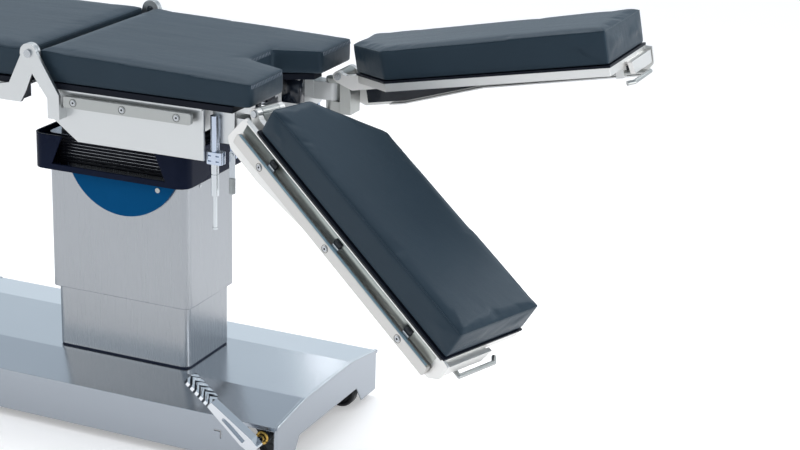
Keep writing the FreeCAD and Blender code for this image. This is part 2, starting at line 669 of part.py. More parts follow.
def seat_fixings():
    """Rail spacers and screws, and the back section's two hinge pins."""
    parts = []
    for x in (RAIL_HEAD_X + 26, (RAIL_HEAD_X + RAIL_FOOT_X) / 2 - 10, RAIL_FOOT_X - 35):
        parts += rail_fixing(x)
    x, z = BACK_PIVOT
    inner = PAD_HALF_W + 2
    parts.append(rod(HINGE_PIN_R, (x, inner - 1, z), (x, inner + 2 * HINGE_PLATE_T + 6, z)))
    return both_sides(parts)


def seat_hinge_plates():
    """Outer plates that carry the back section's pins, standing beside the pad."""
    x, z = BACK_PIVOT
    low = PAD_HALF_W + 2 + HINGE_PLATE_T + 1
    high = low + HINGE_PLATE_T
    foot_low, foot_high = HINGE_FOOT_X
    low_z = TOP_PLATE_Z - 63.0
    outline = [(x, z + 8), (x + 20, z + 6), (foot_high, ARM_TOP_Z), (foot_high, low_z), (foot_low, low_z),
               (foot_low, ARM_TOP_Z - 10), (x - 20, z - 6)]
    plate = fuse([prism(outline, "xz", low, high), rod(HINGE_PLATE_R, (x, low, z), (x, high, z))])
    foot = box((foot_low, foot_high), (SIDE_PLATE_Y + SIDE_PLATE_T, low), (low_z, low_z + 25))
    bore = rod(HINGE_PIN_R, (x, low - 1, z), (x, high + 1, z))
    return both_sides([fuse([plate, foot]).cut(bore)])


def leg_bracket(side):
    """Box under the seat's foot corner with the tongue that holds the upright spread pin."""
    y_in, y_out = BRACKET_Y
    wall = BRACKET_WALL
    shell = box((BRACKET_HEAD_X, BRACKET_FOOT_X), (y_in, y_out), (BRACKET_LOW_Z, TOP_PLATE_Z))
    shell = round_edges(shell, V(0, 0, 1), 3.0, lambda middle: middle.x > BRACKET_HEAD_X + 1)
    hollow = box((BRACKET_HEAD_X - 1, BRACKET_FOOT_X - wall), (y_in + wall, y_out - wall),
                 (BRACKET_LOW_Z + wall, TOP_PLATE_Z - wall))
    tongue = box((BRACKET_FOOT_X - wall, SPREAD_X), (SPREAD_Y - LUG_R, SPREAD_Y + LUG_R),
                 (TONGUE_LOW_Z, TONGUE_TOP_Z))
    boss = rod(LUG_R, (SPREAD_X, SPREAD_Y, TONGUE_LOW_Z), (SPREAD_X, SPREAD_Y, TONGUE_TOP_Z))
    bore = rod(PIN_R + PIN_GAP, (SPREAD_X, SPREAD_Y, TONGUE_LOW_Z - 1),
               (SPREAD_X, SPREAD_Y, TONGUE_TOP_Z + 1))
    return on_side(fuse([shell.cut(hollow), tongue, boss]).cut(bore), side)


def lock_blocks():
    """Post beside the bracket, slotted clamp block at its foot, and the latch lever's ear."""
    y = LOCK_Y
    low, high = LOCK_BLOCK_Z
    face = y - LOCK_POST_R
    block = box(LOCK_BLOCK_X, (y - LOCK_BLOCK_HALF_W, y + LOCK_BLOCK_HALF_W), (low, high))
    block = round_edges(block, V(0, 0, 1), 7.0)
    post = rod(LOCK_POST_R, (LOCK_X, y, high - 1), (LOCK_X, y, LOCK_POST_TOP_Z))
    saddle = box((LOCK_X - 7, LOCK_X + 7), (face, y), (BRACKET_LOW_Z + 12, LOCK_POST_TOP_Z - 8))
    clamp = fuse([block, post, saddle])
    clamp = clamp.cut(rod(LOCK_PIN_R + PIN_GAP, (LOCK_X, y, low - 1), (LOCK_X, y, high + 20)))
    for z in (low + 6, high - 9):
        for x in (LOCK_BLOCK_X[0] + 6, LOCK_BLOCK_X[1] - 14):
            clamp = clamp.cut(box((x, x + 8), (y + LOCK_BLOCK_HALF_W - 4, y + LOCK_BLOCK_HALF_W + 1),
                                  (z, z + 3)))
    ear = box((LATCH_PIN_X - 7, LATCH_PIN_X + 7), (LATCH_Y - 10, LATCH_Y - 0.5),
              (LATCH_PIN_Z - 9, BRACKET_LOW_Z))
    ear_bore = rod(LATCH_PIN_R + PIN_GAP, (LATCH_PIN_X, LATCH_Y - 11, LATCH_PIN_Z),
                   (LATCH_PIN_X, LATCH_Y, LATCH_PIN_Z))
    return both_sides([clamp, ear.cut(ear_bore)])


def lock_handle(side):
    """Screw spindle with a sleeve and a thin handle rod hanging below the clamp block."""
    low, high = LOCK_BLOCK_Z
    seam = (LOCK_SLEEVE_Z + low) / 2 + 12

    def along(radius, start, end):
        return rod(radius, (LOCK_X, LOCK_Y, start), (LOCK_X, LOCK_Y, end))

    sleeve = along(LOCK_SLEEVE_R, LOCK_SLEEVE_Z, low - 0.5)
    groove = along(LOCK_SLEEVE_R + 1, seam, seam + 2).cut(along(LOCK_SLEEVE_R - 1, seam - 1, seam + 3))
    parts = [
        along(LOCK_PIN_R, low - 6, high + 10),
        sleeve.cut(groove),
        along(LOCK_ROD_R, LOCK_TIP_Z, LOCK_SLEEVE_Z + 1),
        along(LOCK_ROD_R + 1, LOCK_TIP_Z, LOCK_TIP_Z + 4),
    ]
    return on_side(fuse(parts), side)


def latch_lever(side):
    """Hanging release lever with a moulded, ribbed grip, on its own cross pin."""
    x, y = LATCH_PIN_X, LATCH_Y
    grip_low, grip_top = LATCH_GRIP_Z
    grip_y = y + LATCH_T / 2
    arm = box((x - 6, x + 6), (y, y + LATCH_T), (grip_top - 10, LATCH_PIN_Z + 8))
    arm = round_edges(arm, V(0, 1, 0), 5.0)
    pin = rod(LATCH_PIN_R, (x, y - 11, LATCH_PIN_Z), (x, y + LATCH_T + 2, LATCH_PIN_Z))
    grip = rod(LATCH_GRIP_R, (x, grip_y, grip_low), (x, grip_y, grip_top))
    grip = grip.makeFillet(3.0, [edge for edge in grip.Edges if edge.Closed])
    for step in range(4):
        z = grip_low + 8 + step * 6
        ring = rod(LATCH_GRIP_R + 1, (x, grip_y, z), (x, grip_y, z + 2))
        grip = grip.cut(ring.cut(rod(LATCH_GRIP_R - 0.8, (x, grip_y, z), (x, grip_y, z + 2))))
    return on_side(fuse([arm, pin, grip]), side)


# Legs

def place_leg(shape, side, tilted=True):
    """Puts a piece drawn in the leg's frame where the leg stands."""
    tilt = {NEAR: NEAR_TILT, FAR: FAR_TILT}[side]
    spread = {NEAR: NEAR_SPREAD, FAR: FAR_SPREAD}[side]
    placed = on_side(shape.copy(), side)
    if tilted:
        placed.rotate(V(0, 0, 0), V(0, 1, 0), -tilt)
    placed.translate(V(TILT_PIN_X, 0, 0))
    placed.rotate(V(0, 0, 0), V(0, 0, 1), side * spread)
    placed.translate(V(SPREAD_X, side * SPREAD_Y, TOP_PLATE_Z))
    return placed


def leg_block(side):
    """Cast block: two lugs and the upright pin, an upright, and the knuckle of the tilt pin."""
    axis_a = -TILT_PIN_X
    top = -TOP_PLATE_Z
    low_lug = (BLOCK_LOW_Z + top, TONGUE_LOW_Z + top - LUG_GAP)
    high_lug = (TONGUE_TOP_Z + top + LUG_GAP, TONGUE_TOP_Z + top + LUG_GAP + 10)
    parts = []
    for low, high in (low_lug, high_lug):
        parts.append(rod(LUG_R, (axis_a, 0, low), (axis_a, 0, high)))
        parts.append(box((axis_a, 2), (-LUG_R, LUG_R), (low, high)))
    upright = prism([(-1, low_lug[0]), (26, low_lug[0]), (26, low_lug[0] + 48), (14, 0), (-1, 0)],
                    "xz", -KNUCKLE_HALF_W, KNUCKLE_HALF_W)
    parts.append(upright)
    parts.append(rod(KNUCKLE_R, (0, -KNUCKLE_HALF_W, 0), (0, KNUCKLE_HALF_W, 0)))
    parts.append(rod(PIN_R, (axis_a, 0, low_lug[0] - 4), (axis_a, 0, high_lug[1] + 1)))
    bore = rod(PIN_R + PIN_GAP, (0, -KNUCKLE_HALF_W - 1, 0), (0, KNUCKLE_HALF_W + 1, 0))
    return place_leg(fuse(parts).cut(bore), side, tilted=False)


def leg_outline(inset):
    """Plan of a leg: narrow at the hinge, with a slanted inner corner, as (a, b) corners."""
    outer = LEG_OUT - inset
    return [
        (LEG_START + inset, outer), (LEG_START + LEG_LEN - inset, outer),
        (LEG_START + LEG_LEN - inset, LEG_OUT - LEG_WIDE + inset),
        (LEG_START + LEG_TAPER + inset * 0.5, LEG_OUT - LEG_WIDE + inset),
        (LEG_START + inset, LEG_OUT - LEG_NARROW + inset * 0.5),
    ]


def leg_side_plate():
    """Outer side plate: a deep gusset at the hinge, a lip along the top, a flange along the bottom."""
    top = LEG_TOP_C
    end = LEG_START + LEG_LEN
    outer = LEG_OUT - 4
    inner = outer - GUSSET_T
    rise_a, rail_a = GUSSET_A
    lower = [(rise_a, GUSSET_C), (rail_a, GUSSET_FOOT_C - 3), (end - 10, GUSSET_FOOT_C)]
    outline = [(-14, GUSSET_C + 14), (8, GUSSET_C)] + lower
    outline += [(end + 13, GUSSET_FOOT_C + 23), (end + 13, top - 4), (end - 6, top), (6, top), (-2, top - 18)]
    plate = prism(outline, "xz", inner, outer)
    plate = round_edges(
        plate, V(0, 1, 0), 10.0,
        lambda middle: middle.z < -35 and (middle.x > end - 20 or middle.x < 12))
    path = [(LEG_FLANGE_A, GUSSET_C)] + lower
    above = [(a, c + LEG_FLANGE_T) for a, c in reversed(path)]
    flange = prism(path + above, "xz", inner - LEG_FLANGE_W, inner + 1)
    lip = box((14, end - 6), (outer - 1, outer + LEG_LIP_W), (top - LEG_FLANGE_T, top))
    return fuse([plate, flange, lip])


def leg_cheek(low, high):
    """One of the two plates on the tilt pin, deep behind the hinge and drawn out to a bar."""
    top = LEG_TOP_C
    reach = LEG_START + 70
    outline = [(-6, -12), (30, -34), (reach, -34), (reach + 90, top - RIM_H), (reach + 90, top), (20, top),
               (0, KNUCKLE_R)]
    cheek = fuse([prism(outline, "xz", low, high), rod(KNUCKLE_R, (0, low, 0), (0, high, 0))])
    return cheek.cut(rod(PIN_R, (0, low - 1, 0), (0, high + 1, 0)))


def leg_frame(side):
    """Pan with a low rim, the outer side plate, and the cheeks on the tilt pin."""
    top = LEG_TOP_C
    end = LEG_START + LEG_LEN
    inner_b = LEG_OUT - LEG_WIDE
    cheek_in = KNUCKLE_HALF_W + CHEEK_GAP
    cheek_out = cheek_in + CHEEK_T
    rim_outer = prism(leg_outline(4.0), "xy", top - RIM_H, top)
    rim_inner = prism(leg_outline(4.0 + RIM_T), "xy", top - RIM_H - 1, top + 1)
    notch = box((LEG_START - 1, HINGE_NOTCH), (-cheek_in, cheek_in), (top - RIM_H - 1, top + 1))
    cheeks = [leg_cheek(-cheek_out, -cheek_in), leg_cheek(cheek_in, cheek_out)]
    bridge = box((HINGE_NOTCH, HINGE_NOTCH + 20), (-cheek_out, LEG_OUT - 6), (-30, top))
    cross = [box((a, a + 20), (inner_b + 6, LEG_OUT - 6), (top - 12, top))
             for a in (LEG_START + LEG_LEN / 3, LEG_START + LEG_LEN * 2 / 3)]
    keel = box((HINGE_NOTCH, end - 6), (-12, 12), (top - 14, top))
    hanger_a = (end - 52, end - 34)
    hanger = box(hanger_a, (HANDLE_B - 10, HANDLE_B + 10), (HANDLE_C - 10, top - 6))
    bore = rod(HANDLE_ROD_R + PIN_GAP, (hanger_a[0] - 1, HANDLE_B, HANDLE_C),
               (hanger_a[1] + 1, HANDLE_B, HANDLE_C))
    pan = rim_outer.cut(rim_inner).cut(notch)
    frame = fuse([pan, leg_side_plate(), bridge, keel, hanger] + cross + cheeks)
    return place_leg(frame.cut(bore), side)


def leg_base_plate(side):
    return place_leg(prism(leg_outline(2.0), "xy", LEG_TOP_C, LEG_PAD_C), side)


def leg_pad(side):
    """Soft pad, a little thicker at the foot."""
    low = LEG_PAD_C + PAD_CLEAR
    plan = prism(leg_outline(0.0), "xy", low, LEG_PAD_C + LEG_PAD_FOOT_T + 1)
    end = LEG_START + LEG_LEN
    profile = [(LEG_START - 1, low), (end + 1, low), (end + 1, LEG_PAD_C + LEG_PAD_FOOT_T),
               (LEG_START - 1, LEG_PAD_C + LEG_PAD_HINGE_T)]
    return place_leg(plan.common(prism(profile, "xz", -LEG_WIDE, LEG_OUT + 1)), side)


def leg_rail(side):
    end = LEG_START + LEG_LEN
    bar = box((14, end - 16), (LEG_OUT, LEG_OUT + RAIL_T), (LEG_RAIL_C, LEG_RAIL_C + RAIL_H))
    return place_leg(round_edges(bar, V(0, 1, 0), 4.0), side)


def leg_fixings(side):
    """Tilt pin, rail spacers, screw heads and the clips in the channel above the rail."""
    middle = LEG_RAIL_C + RAIL_H / 2
    reach = KNUCKLE_HALF_W + CHEEK_GAP + CHEEK_T
    rail_face = LEG_OUT + RAIL_T
    parts = [rod(PIN_R, (0, -reach - 3, 0), (0, reach + 3, 0))]
    for a in LEG_SCREWS:
        parts.append(rod(SPACER_R, (a, LEG_OUT - 4, middle), (a, LEG_OUT, middle)))
        parts.append(rod(SCREW_R, (a, rail_face, middle), (a, rail_face + SCREW_HEAD_T, middle)))
    long_a, thick_b, high_c = SPACER_SIZE
    low_c = LEG_RAIL_C + RAIL_H
    for a in LEG_SPACERS:
        parts.append(box((a - long_a / 2, a + long_a / 2), (LEG_OUT - 4, LEG_OUT - 4 + thick_b),
                         (low_c, low_c + high_c)))
    return place_leg(group(parts), side)


def leg_end_rail(side):
    """Short rail across the foot end with one slanted end, on a shelf from the rim."""
    end = LEG_START + LEG_LEN + 1
    rim_face = LEG_START + LEG_LEN - 4
    low, top = -36.0, -9.0
    outer_b = LEG_OUT - 14
    bar = prism([(-58, low), (outer_b, low), (outer_b, top), (-72, top)], "yz", end, end + RAIL_T)
    shelf = box((rim_face, end), (-62, outer_b), (top - 5, top))
    return place_leg(fuse([bar, shelf]), side)


def release_handle(side):
    """Bent rod that frees the leg's tilt lock: a shaft under the foot end and a cross grip."""
    end = LEG_START + LEG_LEN
    route = [(end - 60, HANDLE_B), (end + 20, HANDLE_B), (end + 20, -95), (end + 8, -107)]
    parts = []
    for (a, b), (next_a, next_b) in zip(route, route[1:]):
        parts.append(rod(HANDLE_ROD_R, (a, b, HANDLE_C), (next_a, next_b, HANDLE_C)))
    for a, b in route[1:-1]:
        parts.append(Part.makeSphere(HANDLE_ROD_R, V(a, b, HANDLE_C)))
    return place_leg(fuse(parts), side)


# Back and head sections

def section_pad(head_x, foot_x, thick, corner):
    pad = box((head_x, foot_x), (-PAD_HALF_W, PAD_HALF_W), (PAD_Z + PAD_CLEAR, PAD_Z + thick))
    return round_edges(pad, V(0, 0, 1), corner, lambda middle: middle.x < (head_x + foot_x) / 2)


def back_span():
    foot_x = BACK_PIVOT[0] - SECTION_GAP / 2
    return foot_x - BACK_LEN, foot_x


def head_pivot_x():
    return back_span()[0] - SECTION_GAP / 2


def head_span():
    foot_x = head_pivot_x() - SECTION_GAP / 2 - 2
    return foot_x - HEAD_LEN, foot_x


def back_base_plate():
    head_x, foot_x = back_span()
    return box((head_x + 2, foot_x - 22), (-PAD_HALF_W + 2, PAD_HALF_W - 2), (TOP_PLATE_Z, PAD_Z))


def back_pad():
    head_x, foot_x = back_span()
    pad = section_pad(head_x, foot_x, PAD_THICK, 4.0)
    slant = prism([(foot_x, PAD_Z + PAD_THICK), (foot_x - PAD_END_SLANT, PAD_Z), (foot_x + 9, PAD_Z - 1)],
                  "xz", -PAD_HALF_W - 1, PAD_HALF_W + 1)
    return pad.cut(slant)


def back_frame():
    """Two side beams, three cross tubes, and the inner hinge plates at both ends."""
    head_x, foot_x = back_span()
    parts = []
    for side in (NEAR, FAR):
        low, high = sorted((side * (SIDE_PLATE_Y - BEAM_W), side * SIDE_PLATE_Y))
        parts.append(box((head_x + 24, foot_x - 36), (low, high), (TOP_PLATE_Z - BEAM_H, TOP_PLATE_Z)))
    for x in (head_x + 60, (head_x + foot_x) / 2, foot_x - 90):
        parts.append(box((x - TUBE_HALF_W, x + TUBE_HALF_W), (-SIDE_PLATE_Y, SIDE_PLATE_Y),
                         (TOP_PLATE_Z - TUBE_H, TOP_PLATE_Z)))
    x, z = BACK_PIVOT
    low = PAD_HALF_W + 2
    high = low + HINGE_PLATE_T
    outline = [(x - 20, z + 6), (x, z + 20), (x + 18, z - 10), (x - 14, ARM_TOP_Z), (x - 30, ARM_LOW_Z),
               (x - 120, ARM_LOW_Z), (x - 120, ARM_TOP_Z), (x - 60, TOP_PLATE_Z + 4)]
    for side in (NEAR, FAR):
        plate = prism(outline, "xz", low, high)
        plate = fuse([plate, rod(HINGE_PLATE_R, (x, low, z), (x, high, z)),
                      box((x - 120, x - 60), (SIDE_PLATE_Y - 1, low), (ARM_LOW_Z, ARM_TOP_Z))])
        plate = plate.cut(rod(HINGE_PIN_R + PIN_GAP, (x, low - 1, z), (x, high + 1, z)))
        parts.append(on_side(plate, side))
    head_x_pivot = head_pivot_x()
    for side in (NEAR, FAR):
        outline = [(head_x_pivot - 4, HEAD_PIVOT_Z + 16), (head_x_pivot + 16, HEAD_PIVOT_Z),
                   (head_x + 90, ARM_TOP_Z), (head_x + 90, ARM_LOW_Z), (head_x + 30, ARM_LOW_Z),
                   (head_x_pivot - 16, HEAD_PIVOT_Z - 10)]
        plate = fuse([prism(outline, "xz", low, high),
                      rod(HINGE_PLATE_R, (head_x_pivot, low, HEAD_PIVOT_Z),
                          (head_x_pivot, high, HEAD_PIVOT_Z)),
                      box((head_x + 34, head_x + 90), (SIDE_PLATE_Y - 1, low), (ARM_LOW_Z, ARM_TOP_Z))])
        plate = plate.cut(rod(HINGE_PIN_R, (head_x_pivot, low - 1, HEAD_PIVOT_Z),
                              (head_x_pivot, high + 1, HEAD_PIVOT_Z)))
        parts.append(on_side(plate, side))
    return fuse(parts)


def back_rails():
    head_x, foot_x = back_span()
    inner = SIDE_PLATE_Y + RAIL_STANDOFF + SIDE_PLATE_T
    bar = box((head_x + 110, foot_x - 140), (inner, inner + RAIL_T), (RAIL_Z, RAIL_Z + RAIL_H))
    return both_sides([round_edges(bar, V(0, 1, 0), 5.0)])


def back_fixings():
    """Rail spacers and screws, and the head section's hinge pins."""
    head_x, foot_x = back_span()
    rail = SIDE_PLATE_Y + SIDE_PLATE_T + RAIL_STANDOFF
    z = RAIL_Z + RAIL_H / 2
    parts = []
    for x in (head_x + 150, (head_x + foot_x) / 2, foot_x - 180):
        parts.append(rod(SPACER_R, (x, SIDE_PLATE_Y, z), (x, rail, z)))
        parts.append(rod(SCREW_R, (x, rail + RAIL_T, z), (x, rail + RAIL_T + SCREW_HEAD_T, z)))
    inner = PAD_HALF_W + 2
    x = head_pivot_x()
    parts.append(rod(HINGE_PIN_R, (x, inner, HEAD_PIVOT_Z),
                     (x, inner + 2 * HINGE_PLATE_T + 5, HEAD_PIVOT_Z)))
    return both_sides(parts)


def head_base_plate():
    head_x, foot_x = head_span()
    plate = box((head_x + 4, foot_x - 16), (-PAD_HALF_W + 4, PAD_HALF_W - 4), (TOP_PLATE_Z, PAD_Z))
    return round_edges(plate, V(0, 0, 1), 30.0, lambda middle: middle.x < head_x + 40)


def head_pad():
    head_x, foot_x = head_span()
    return section_pad(head_x, foot_x, HEAD_THICK, 34.0)


def head_frame():
    """U-shaped tube frame under the head plate, with outer hinge plates beside the pad."""
    head_x, foot_x = head_span()
    beam = HEAD_BEAM
    parts = [box((head_x + 40, head_x + 40 + beam), (-SIDE_PLATE_Y, SIDE_PLATE_Y),
                 (TOP_PLATE_Z - beam, TOP_PLATE_Z))]
    low = PAD_HALF_W + 2 + HINGE_PLATE_T + 1
    high = low + HINGE_PLATE_T
    x = head_pivot_x()
    for side in (NEAR, FAR):
        arm_low, arm_high = sorted((side * (SIDE_PLATE_Y - beam), side * SIDE_PLATE_Y))
        parts.append(box((head_x + 40, foot_x - 30), (arm_low, arm_high), (TOP_PLATE_Z - beam, TOP_PLATE_Z)))
        low_z = TOP_PLATE_Z - HEAD_BEAM + 4
        outline = [(x + 4, HEAD_PIVOT_Z + 16), (x - 16, HEAD_PIVOT_Z + 10), (foot_x - 100, TOP_PLATE_Z - 2),
                   (foot_x - 100, low_z), (foot_x - 40, low_z), (x + 14, HEAD_PIVOT_Z - 12)]
        plate = fuse([prism(outline, "xz", low, high),
                      rod(HINGE_PLATE_R, (x, low, HEAD_PIVOT_Z), (x, high, HEAD_PIVOT_Z)),
                      box((foot_x - 100, foot_x - 50), (SIDE_PLATE_Y - 1, low), (low_z, TOP_PLATE_Z - 4))])
        plate = plate.cut(rod(HINGE_PIN_R + PIN_GAP, (x, low - 1, HEAD_PIVOT_Z), (x, high + 1, HEAD_PIVOT_Z)))
        parts.append(on_side(plate, side))
    return fuse(parts)


def build():
    """Every node of the table, by name."""
    nodes = {
        "base_cover": base_cover(),
        "base_frame": base_frame(),
        "mast": mast(),
        "column_gasket": column_gasket(),
        "column_lower_cover": column_lower_cover(),
        "pedal_arm": pedal_arm(),
        "pedal_tread": pedal_tread(),
        "column_upper_cover": column_upper_cover(),
        "lift_carriage": lift_carriage(),
        "head_shell": head_shell(),
        "bellows": bellows(),
        "pivot_discs": pivot_discs(),
        "tilt_cross": tilt_cross(),
        "seat_cradle": seat_cradle(),
        "seat_frame": seat_frame(),
        "seat_hinge_plates": seat_hinge_plates(),
        "seat_base_plate": seat_base_plate(),
        "seat_pad": seat_pad(),
        "seat_rails": seat_rails(),
        "seat_fixings": seat_fixings(),
        "lock_blocks": lock_blocks(),
        "back_frame": back_frame(),
        "back_base_plate": back_base_plate(),
        "back_pad": back_pad(),
        "back_rails": back_rails(),
        "back_fixings": back_fixings(),
        "head_frame": head_frame(),
        "head_base_plate": head_base_plate(),
        "head_pad": head_pad(),
    }
    for number in (1, 2, 3, 4):
        nodes["castor_fork_%d" % number] = place_castor(castor_fork(), number)
        nodes["castor_wheel_%d" % number] = place_castor(castor_wheel(), number)
    for name, side in (("near", NEAR), ("far", FAR)):
        nodes["leg_bracket_" + name] = leg_bracket(side)
        nodes["lock_handle_" + name] = lock_handle(side)
        nodes["latch_lever_" + name] = latch_lever(side)
        nodes["leg_block_" + name] = leg_block(side)
        nodes["leg_frame_" + name] = leg_frame(side)
        nodes["leg_base_plate_" + name] = leg_base_plate(side)
        nodes["leg_pad_" + name] = leg_pad(side)
        nodes["leg_rail_" + name] = leg_rail(side)
        nodes["leg_fixings_" + name] = leg_fixings(side)
        nodes["leg_end_rail_" + name] = leg_end_rail(side)
        nodes["release_handle_" + name] = release_handle(side)
    return nodes


def main():
    os.makedirs("parts", exist_ok=True)
    nodes = build()
    whole = FreeCAD.BoundBox()
    for shape in nodes.values():
        whole.add(shape.BoundBox)
    shift = V(-(whole.XMin + whole.XMax) / 2, -(whole.YMin + whole.YMax) / 2, -whole.ZMin)
    for name, shape in nodes.items():
        placed = shape.copy()
        placed.translate(shift)
        placed.exportStep("parts/%s.step" % name)
    print("nodes", len(nodes), "shift", shift, "size", whole.XLength, whole.YLength, whole.ZLength)


main()
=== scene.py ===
import json
import math
import bmesh
import bpy
from mathutils import Matrix, Vector
from mathutils.bvhtree import BVHTree

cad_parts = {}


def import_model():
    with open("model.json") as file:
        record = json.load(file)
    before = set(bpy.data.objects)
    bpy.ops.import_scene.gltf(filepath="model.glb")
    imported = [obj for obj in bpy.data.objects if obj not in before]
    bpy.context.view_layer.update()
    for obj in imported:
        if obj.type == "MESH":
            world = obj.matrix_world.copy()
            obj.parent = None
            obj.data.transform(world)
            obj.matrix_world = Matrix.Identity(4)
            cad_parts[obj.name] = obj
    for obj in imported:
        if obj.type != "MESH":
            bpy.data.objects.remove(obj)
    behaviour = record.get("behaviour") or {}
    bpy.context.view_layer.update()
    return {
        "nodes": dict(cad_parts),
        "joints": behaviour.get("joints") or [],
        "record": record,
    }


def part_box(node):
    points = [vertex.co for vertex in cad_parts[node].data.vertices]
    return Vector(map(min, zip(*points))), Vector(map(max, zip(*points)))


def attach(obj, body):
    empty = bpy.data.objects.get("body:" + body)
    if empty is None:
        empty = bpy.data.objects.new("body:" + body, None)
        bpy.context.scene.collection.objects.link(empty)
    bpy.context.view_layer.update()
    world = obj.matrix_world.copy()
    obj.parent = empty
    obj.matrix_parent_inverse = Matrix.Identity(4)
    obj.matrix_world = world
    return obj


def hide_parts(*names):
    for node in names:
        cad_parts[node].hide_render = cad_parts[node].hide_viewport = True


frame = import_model()

# Metres, in the frame's own axes: +X to the foot end, +Y to the far side, +Z up.
MM = 0.001
nodes = frame["nodes"]
joints = {joint["name"]: joint for joint in frame["joints"]}
COLUMN = Vector(joints["long_tilt"]["pos_m"])
COLUMN.z = 0.0

# The near side faces the camera.
SIDES = {"near": -1, "far": 1}
UP, DOWN, TO_FOOT = Vector((0.0, 0.0, 1.0)), Vector((0.0, 0.0, -1.0)), Vector((1.0, 0.0, 0.0))

# How the two legs stand in the photograph: degrees outwards and degrees above the level
LEG_SPREAD = {"near": 18.5, "far": 0.0}
LEG_TILT = {"near": -34.0, "far": 10.6}

# Camera, fitted to the photograph
CAMERA_PLACE = Vector((2.2826, -3.7582, 1.8824))
CAMERA_AZIMUTH = 28.306
CAMERA_ELEVATION = 18.279
CAMERA_LENS = 88.84
CAMERA_SHIFT = 0.2
CAMERA_REACH = 60.0

# Share of white added to the pale floor where it is seen, and half the floor's side
FLOOR_LIFT, FLOOR_HALF = 0.32, 14.0
FLOOR_DARKER, FLOOR_LIGHTER = (0.84, 0.845, 0.85), (0.86, 0.865, 0.87)
# Skies that light the object and that metal mirrors, with the heights between which they change
SKY_LOW, SKY_HIGH, SKY_RISE = (0.30, 0.31, 0.33), (0.90, 0.93, 0.98), (-0.1, 0.9)
MIRROR_LOW, MIRROR_HIGH, MIRROR_FADE = (0.80, 0.91, 1.0), (0.12, 0.16, 0.22), (0.12, 1.05)
# Each lamp: where it is and what it faces, from the column's foot, then width, height, watts and colour
WHITE, WARM = (1.0, 1.0, 1.0), (1.0, 0.93, 0.82)
SOFTBOXES = {
    "top_softbox": ((-0.4, 0.6, 3.4), (0.2, 0.0, 0.6), 3.0, 2.4, 55.0, WHITE),
    "left_softbox": ((-2.6, -2.8, 2.0), (0.1, 0.0, 0.5), 2.2, 2.2, 12.0, WARM),
    "right_softbox": ((3.6, -0.4, 0.9), (0.4, 0.0, 0.5), 1.8, 1.4, 26.0, WHITE),
    "back_softbox": ((-1.03, 3.19, 1.5), (0.42, 0.15, 0.15), 0.16, 0.12, 0.25, WHITE),
    "leg_softbox": ((1.75, 1.05, 1.75), (0.95, -0.30, 0.50), 0.8, 0.8, 8.5, WHITE),
}


# Node helpers

def new_material(name):
    material = bpy.data.materials.new(name)
    material.use_nodes = True
    tree = material.node_tree
    tree.nodes.clear()
    output = tree.nodes.new("ShaderNodeOutputMaterial")
    shader = tree.nodes.new("ShaderNodeBsdfPrincipled")
    tree.links.new(shader.outputs["BSDF"], output.inputs["Surface"])
    return material, tree, shader


def mapped(tree, scale=(1.0, 1.0, 1.0)):
    """Texture coordinates of the object itself, stretched by scale along its axes."""
    coordinates = tree.nodes.new("ShaderNodeTexCoord")
    mapping = tree.nodes.new("ShaderNodeMapping")
    mapping.inputs["Scale"].default_value = scale
    tree.links.new(coordinates.outputs["Object"], mapping.inputs["Vector"])
    return mapping.outputs["Vector"]


def noise_node(tree, vector, scale, detail=4.0, rough=0.5):
    node = tree.nodes.new("ShaderNodeTexNoise")
    node.inputs["Scale"].default_value = scale
    node.inputs["Detail"].default_value = detail
    node.inputs["Roughness"].default_value = rough
    tree.links.new(vector, node.inputs["Vector"])
    return node.outputs["Fac"]


def ramp(tree, value, low, high, from_low=0.0, from_high=1.0):
    """Carries a value from one range to another."""
    node = tree.nodes.new("ShaderNodeMapRange")
    node.inputs["From Min"].default_value = from_low
    node.inputs["From Max"].default_value = from_high
    node.inputs["To Min"].default_value = low
    node.inputs["To Max"].default_value = high
    tree.links.new(value, node.inputs["Value"])
    return node.outputs["Result"]


def mix_colour(tree, factor, one, two):
    node = tree.nodes.new("ShaderNodeMix")
    node.data_type = "RGBA"
    tree.links.new(factor, node.inputs["Factor"])
    node.inputs["A"].default_value = (*one, 1.0)
    node.inputs["B"].default_value = (*two, 1.0)
    return node.outputs["Result"]


def shaded(colour, times):
    return tuple(channel * times for channel in colour)


def link_finish(tree, shader, colour, rough, normal):
    tree.links.new(colour, shader.inputs["Base Color"])
    tree.links.new(rough, shader.inputs["Roughness"])
    tree.links.new(normal, shader.inputs["Normal"])


def add_bump(tree, height, strength, distance, normal=None):
    node = tree.nodes.new("ShaderNodeBump")
    node.inputs["Strength"].default_value = strength
    node.inputs["Distance"].default_value = distance
    tree.links.new(height, node.inputs["Height"])
    if normal is not None:
        tree.links.new(normal, node.inputs["Normal"])
    return node.outputs["Normal"]


def soft_edges(tree, radius):
    """Normals that round off the hard edges of a sheet or machined piece."""
    node = tree.nodes.new("ShaderNodeBevel")
    node.samples = 6
    node.inputs["Radius"].default_value = radius
    return node.outputs["Normal"]


# Materials

# Lever: height at which its grip turns into steel, half the width of that edge, and the two colours
LEVER_GRIP_Z, GRIP_EDGE = 0.6535, 0.0005
GRIP_GREY, LEVER_STEEL = (0.42, 0.45, 0.45), (0.44, 0.47, 0.50)
# Pedal tread: chevrons across its run, metres apart, leaning by the slant, with their grooves painted dark as
# painted shade
TREAD_RUN = (-0.781, 0.0, 0.625)
CHEVRON_PITCH, CHEVRON_SLANT, CHEVRON_EDGE = 0.014, 0.7, (0.16, 0.24)
GROOVE_PAINTED_SHADE, TREAD_CHROME = (0.03, 0.035, 0.045), (0.74, 0.76, 0.79)
# Base: its skirts, painted darker than its top as painted shade, and the upward lean at which skirt turns
# into top
SKIRT_PAINTED_SHADE, SKIRT_TO_TOP = (0.36, 0.39, 0.43), (0.3, 0.7)
THREAD_DARK, THREAD_LIGHT = (0.13, 0.16, 0.20), (0.26, 0.31, 0.37)
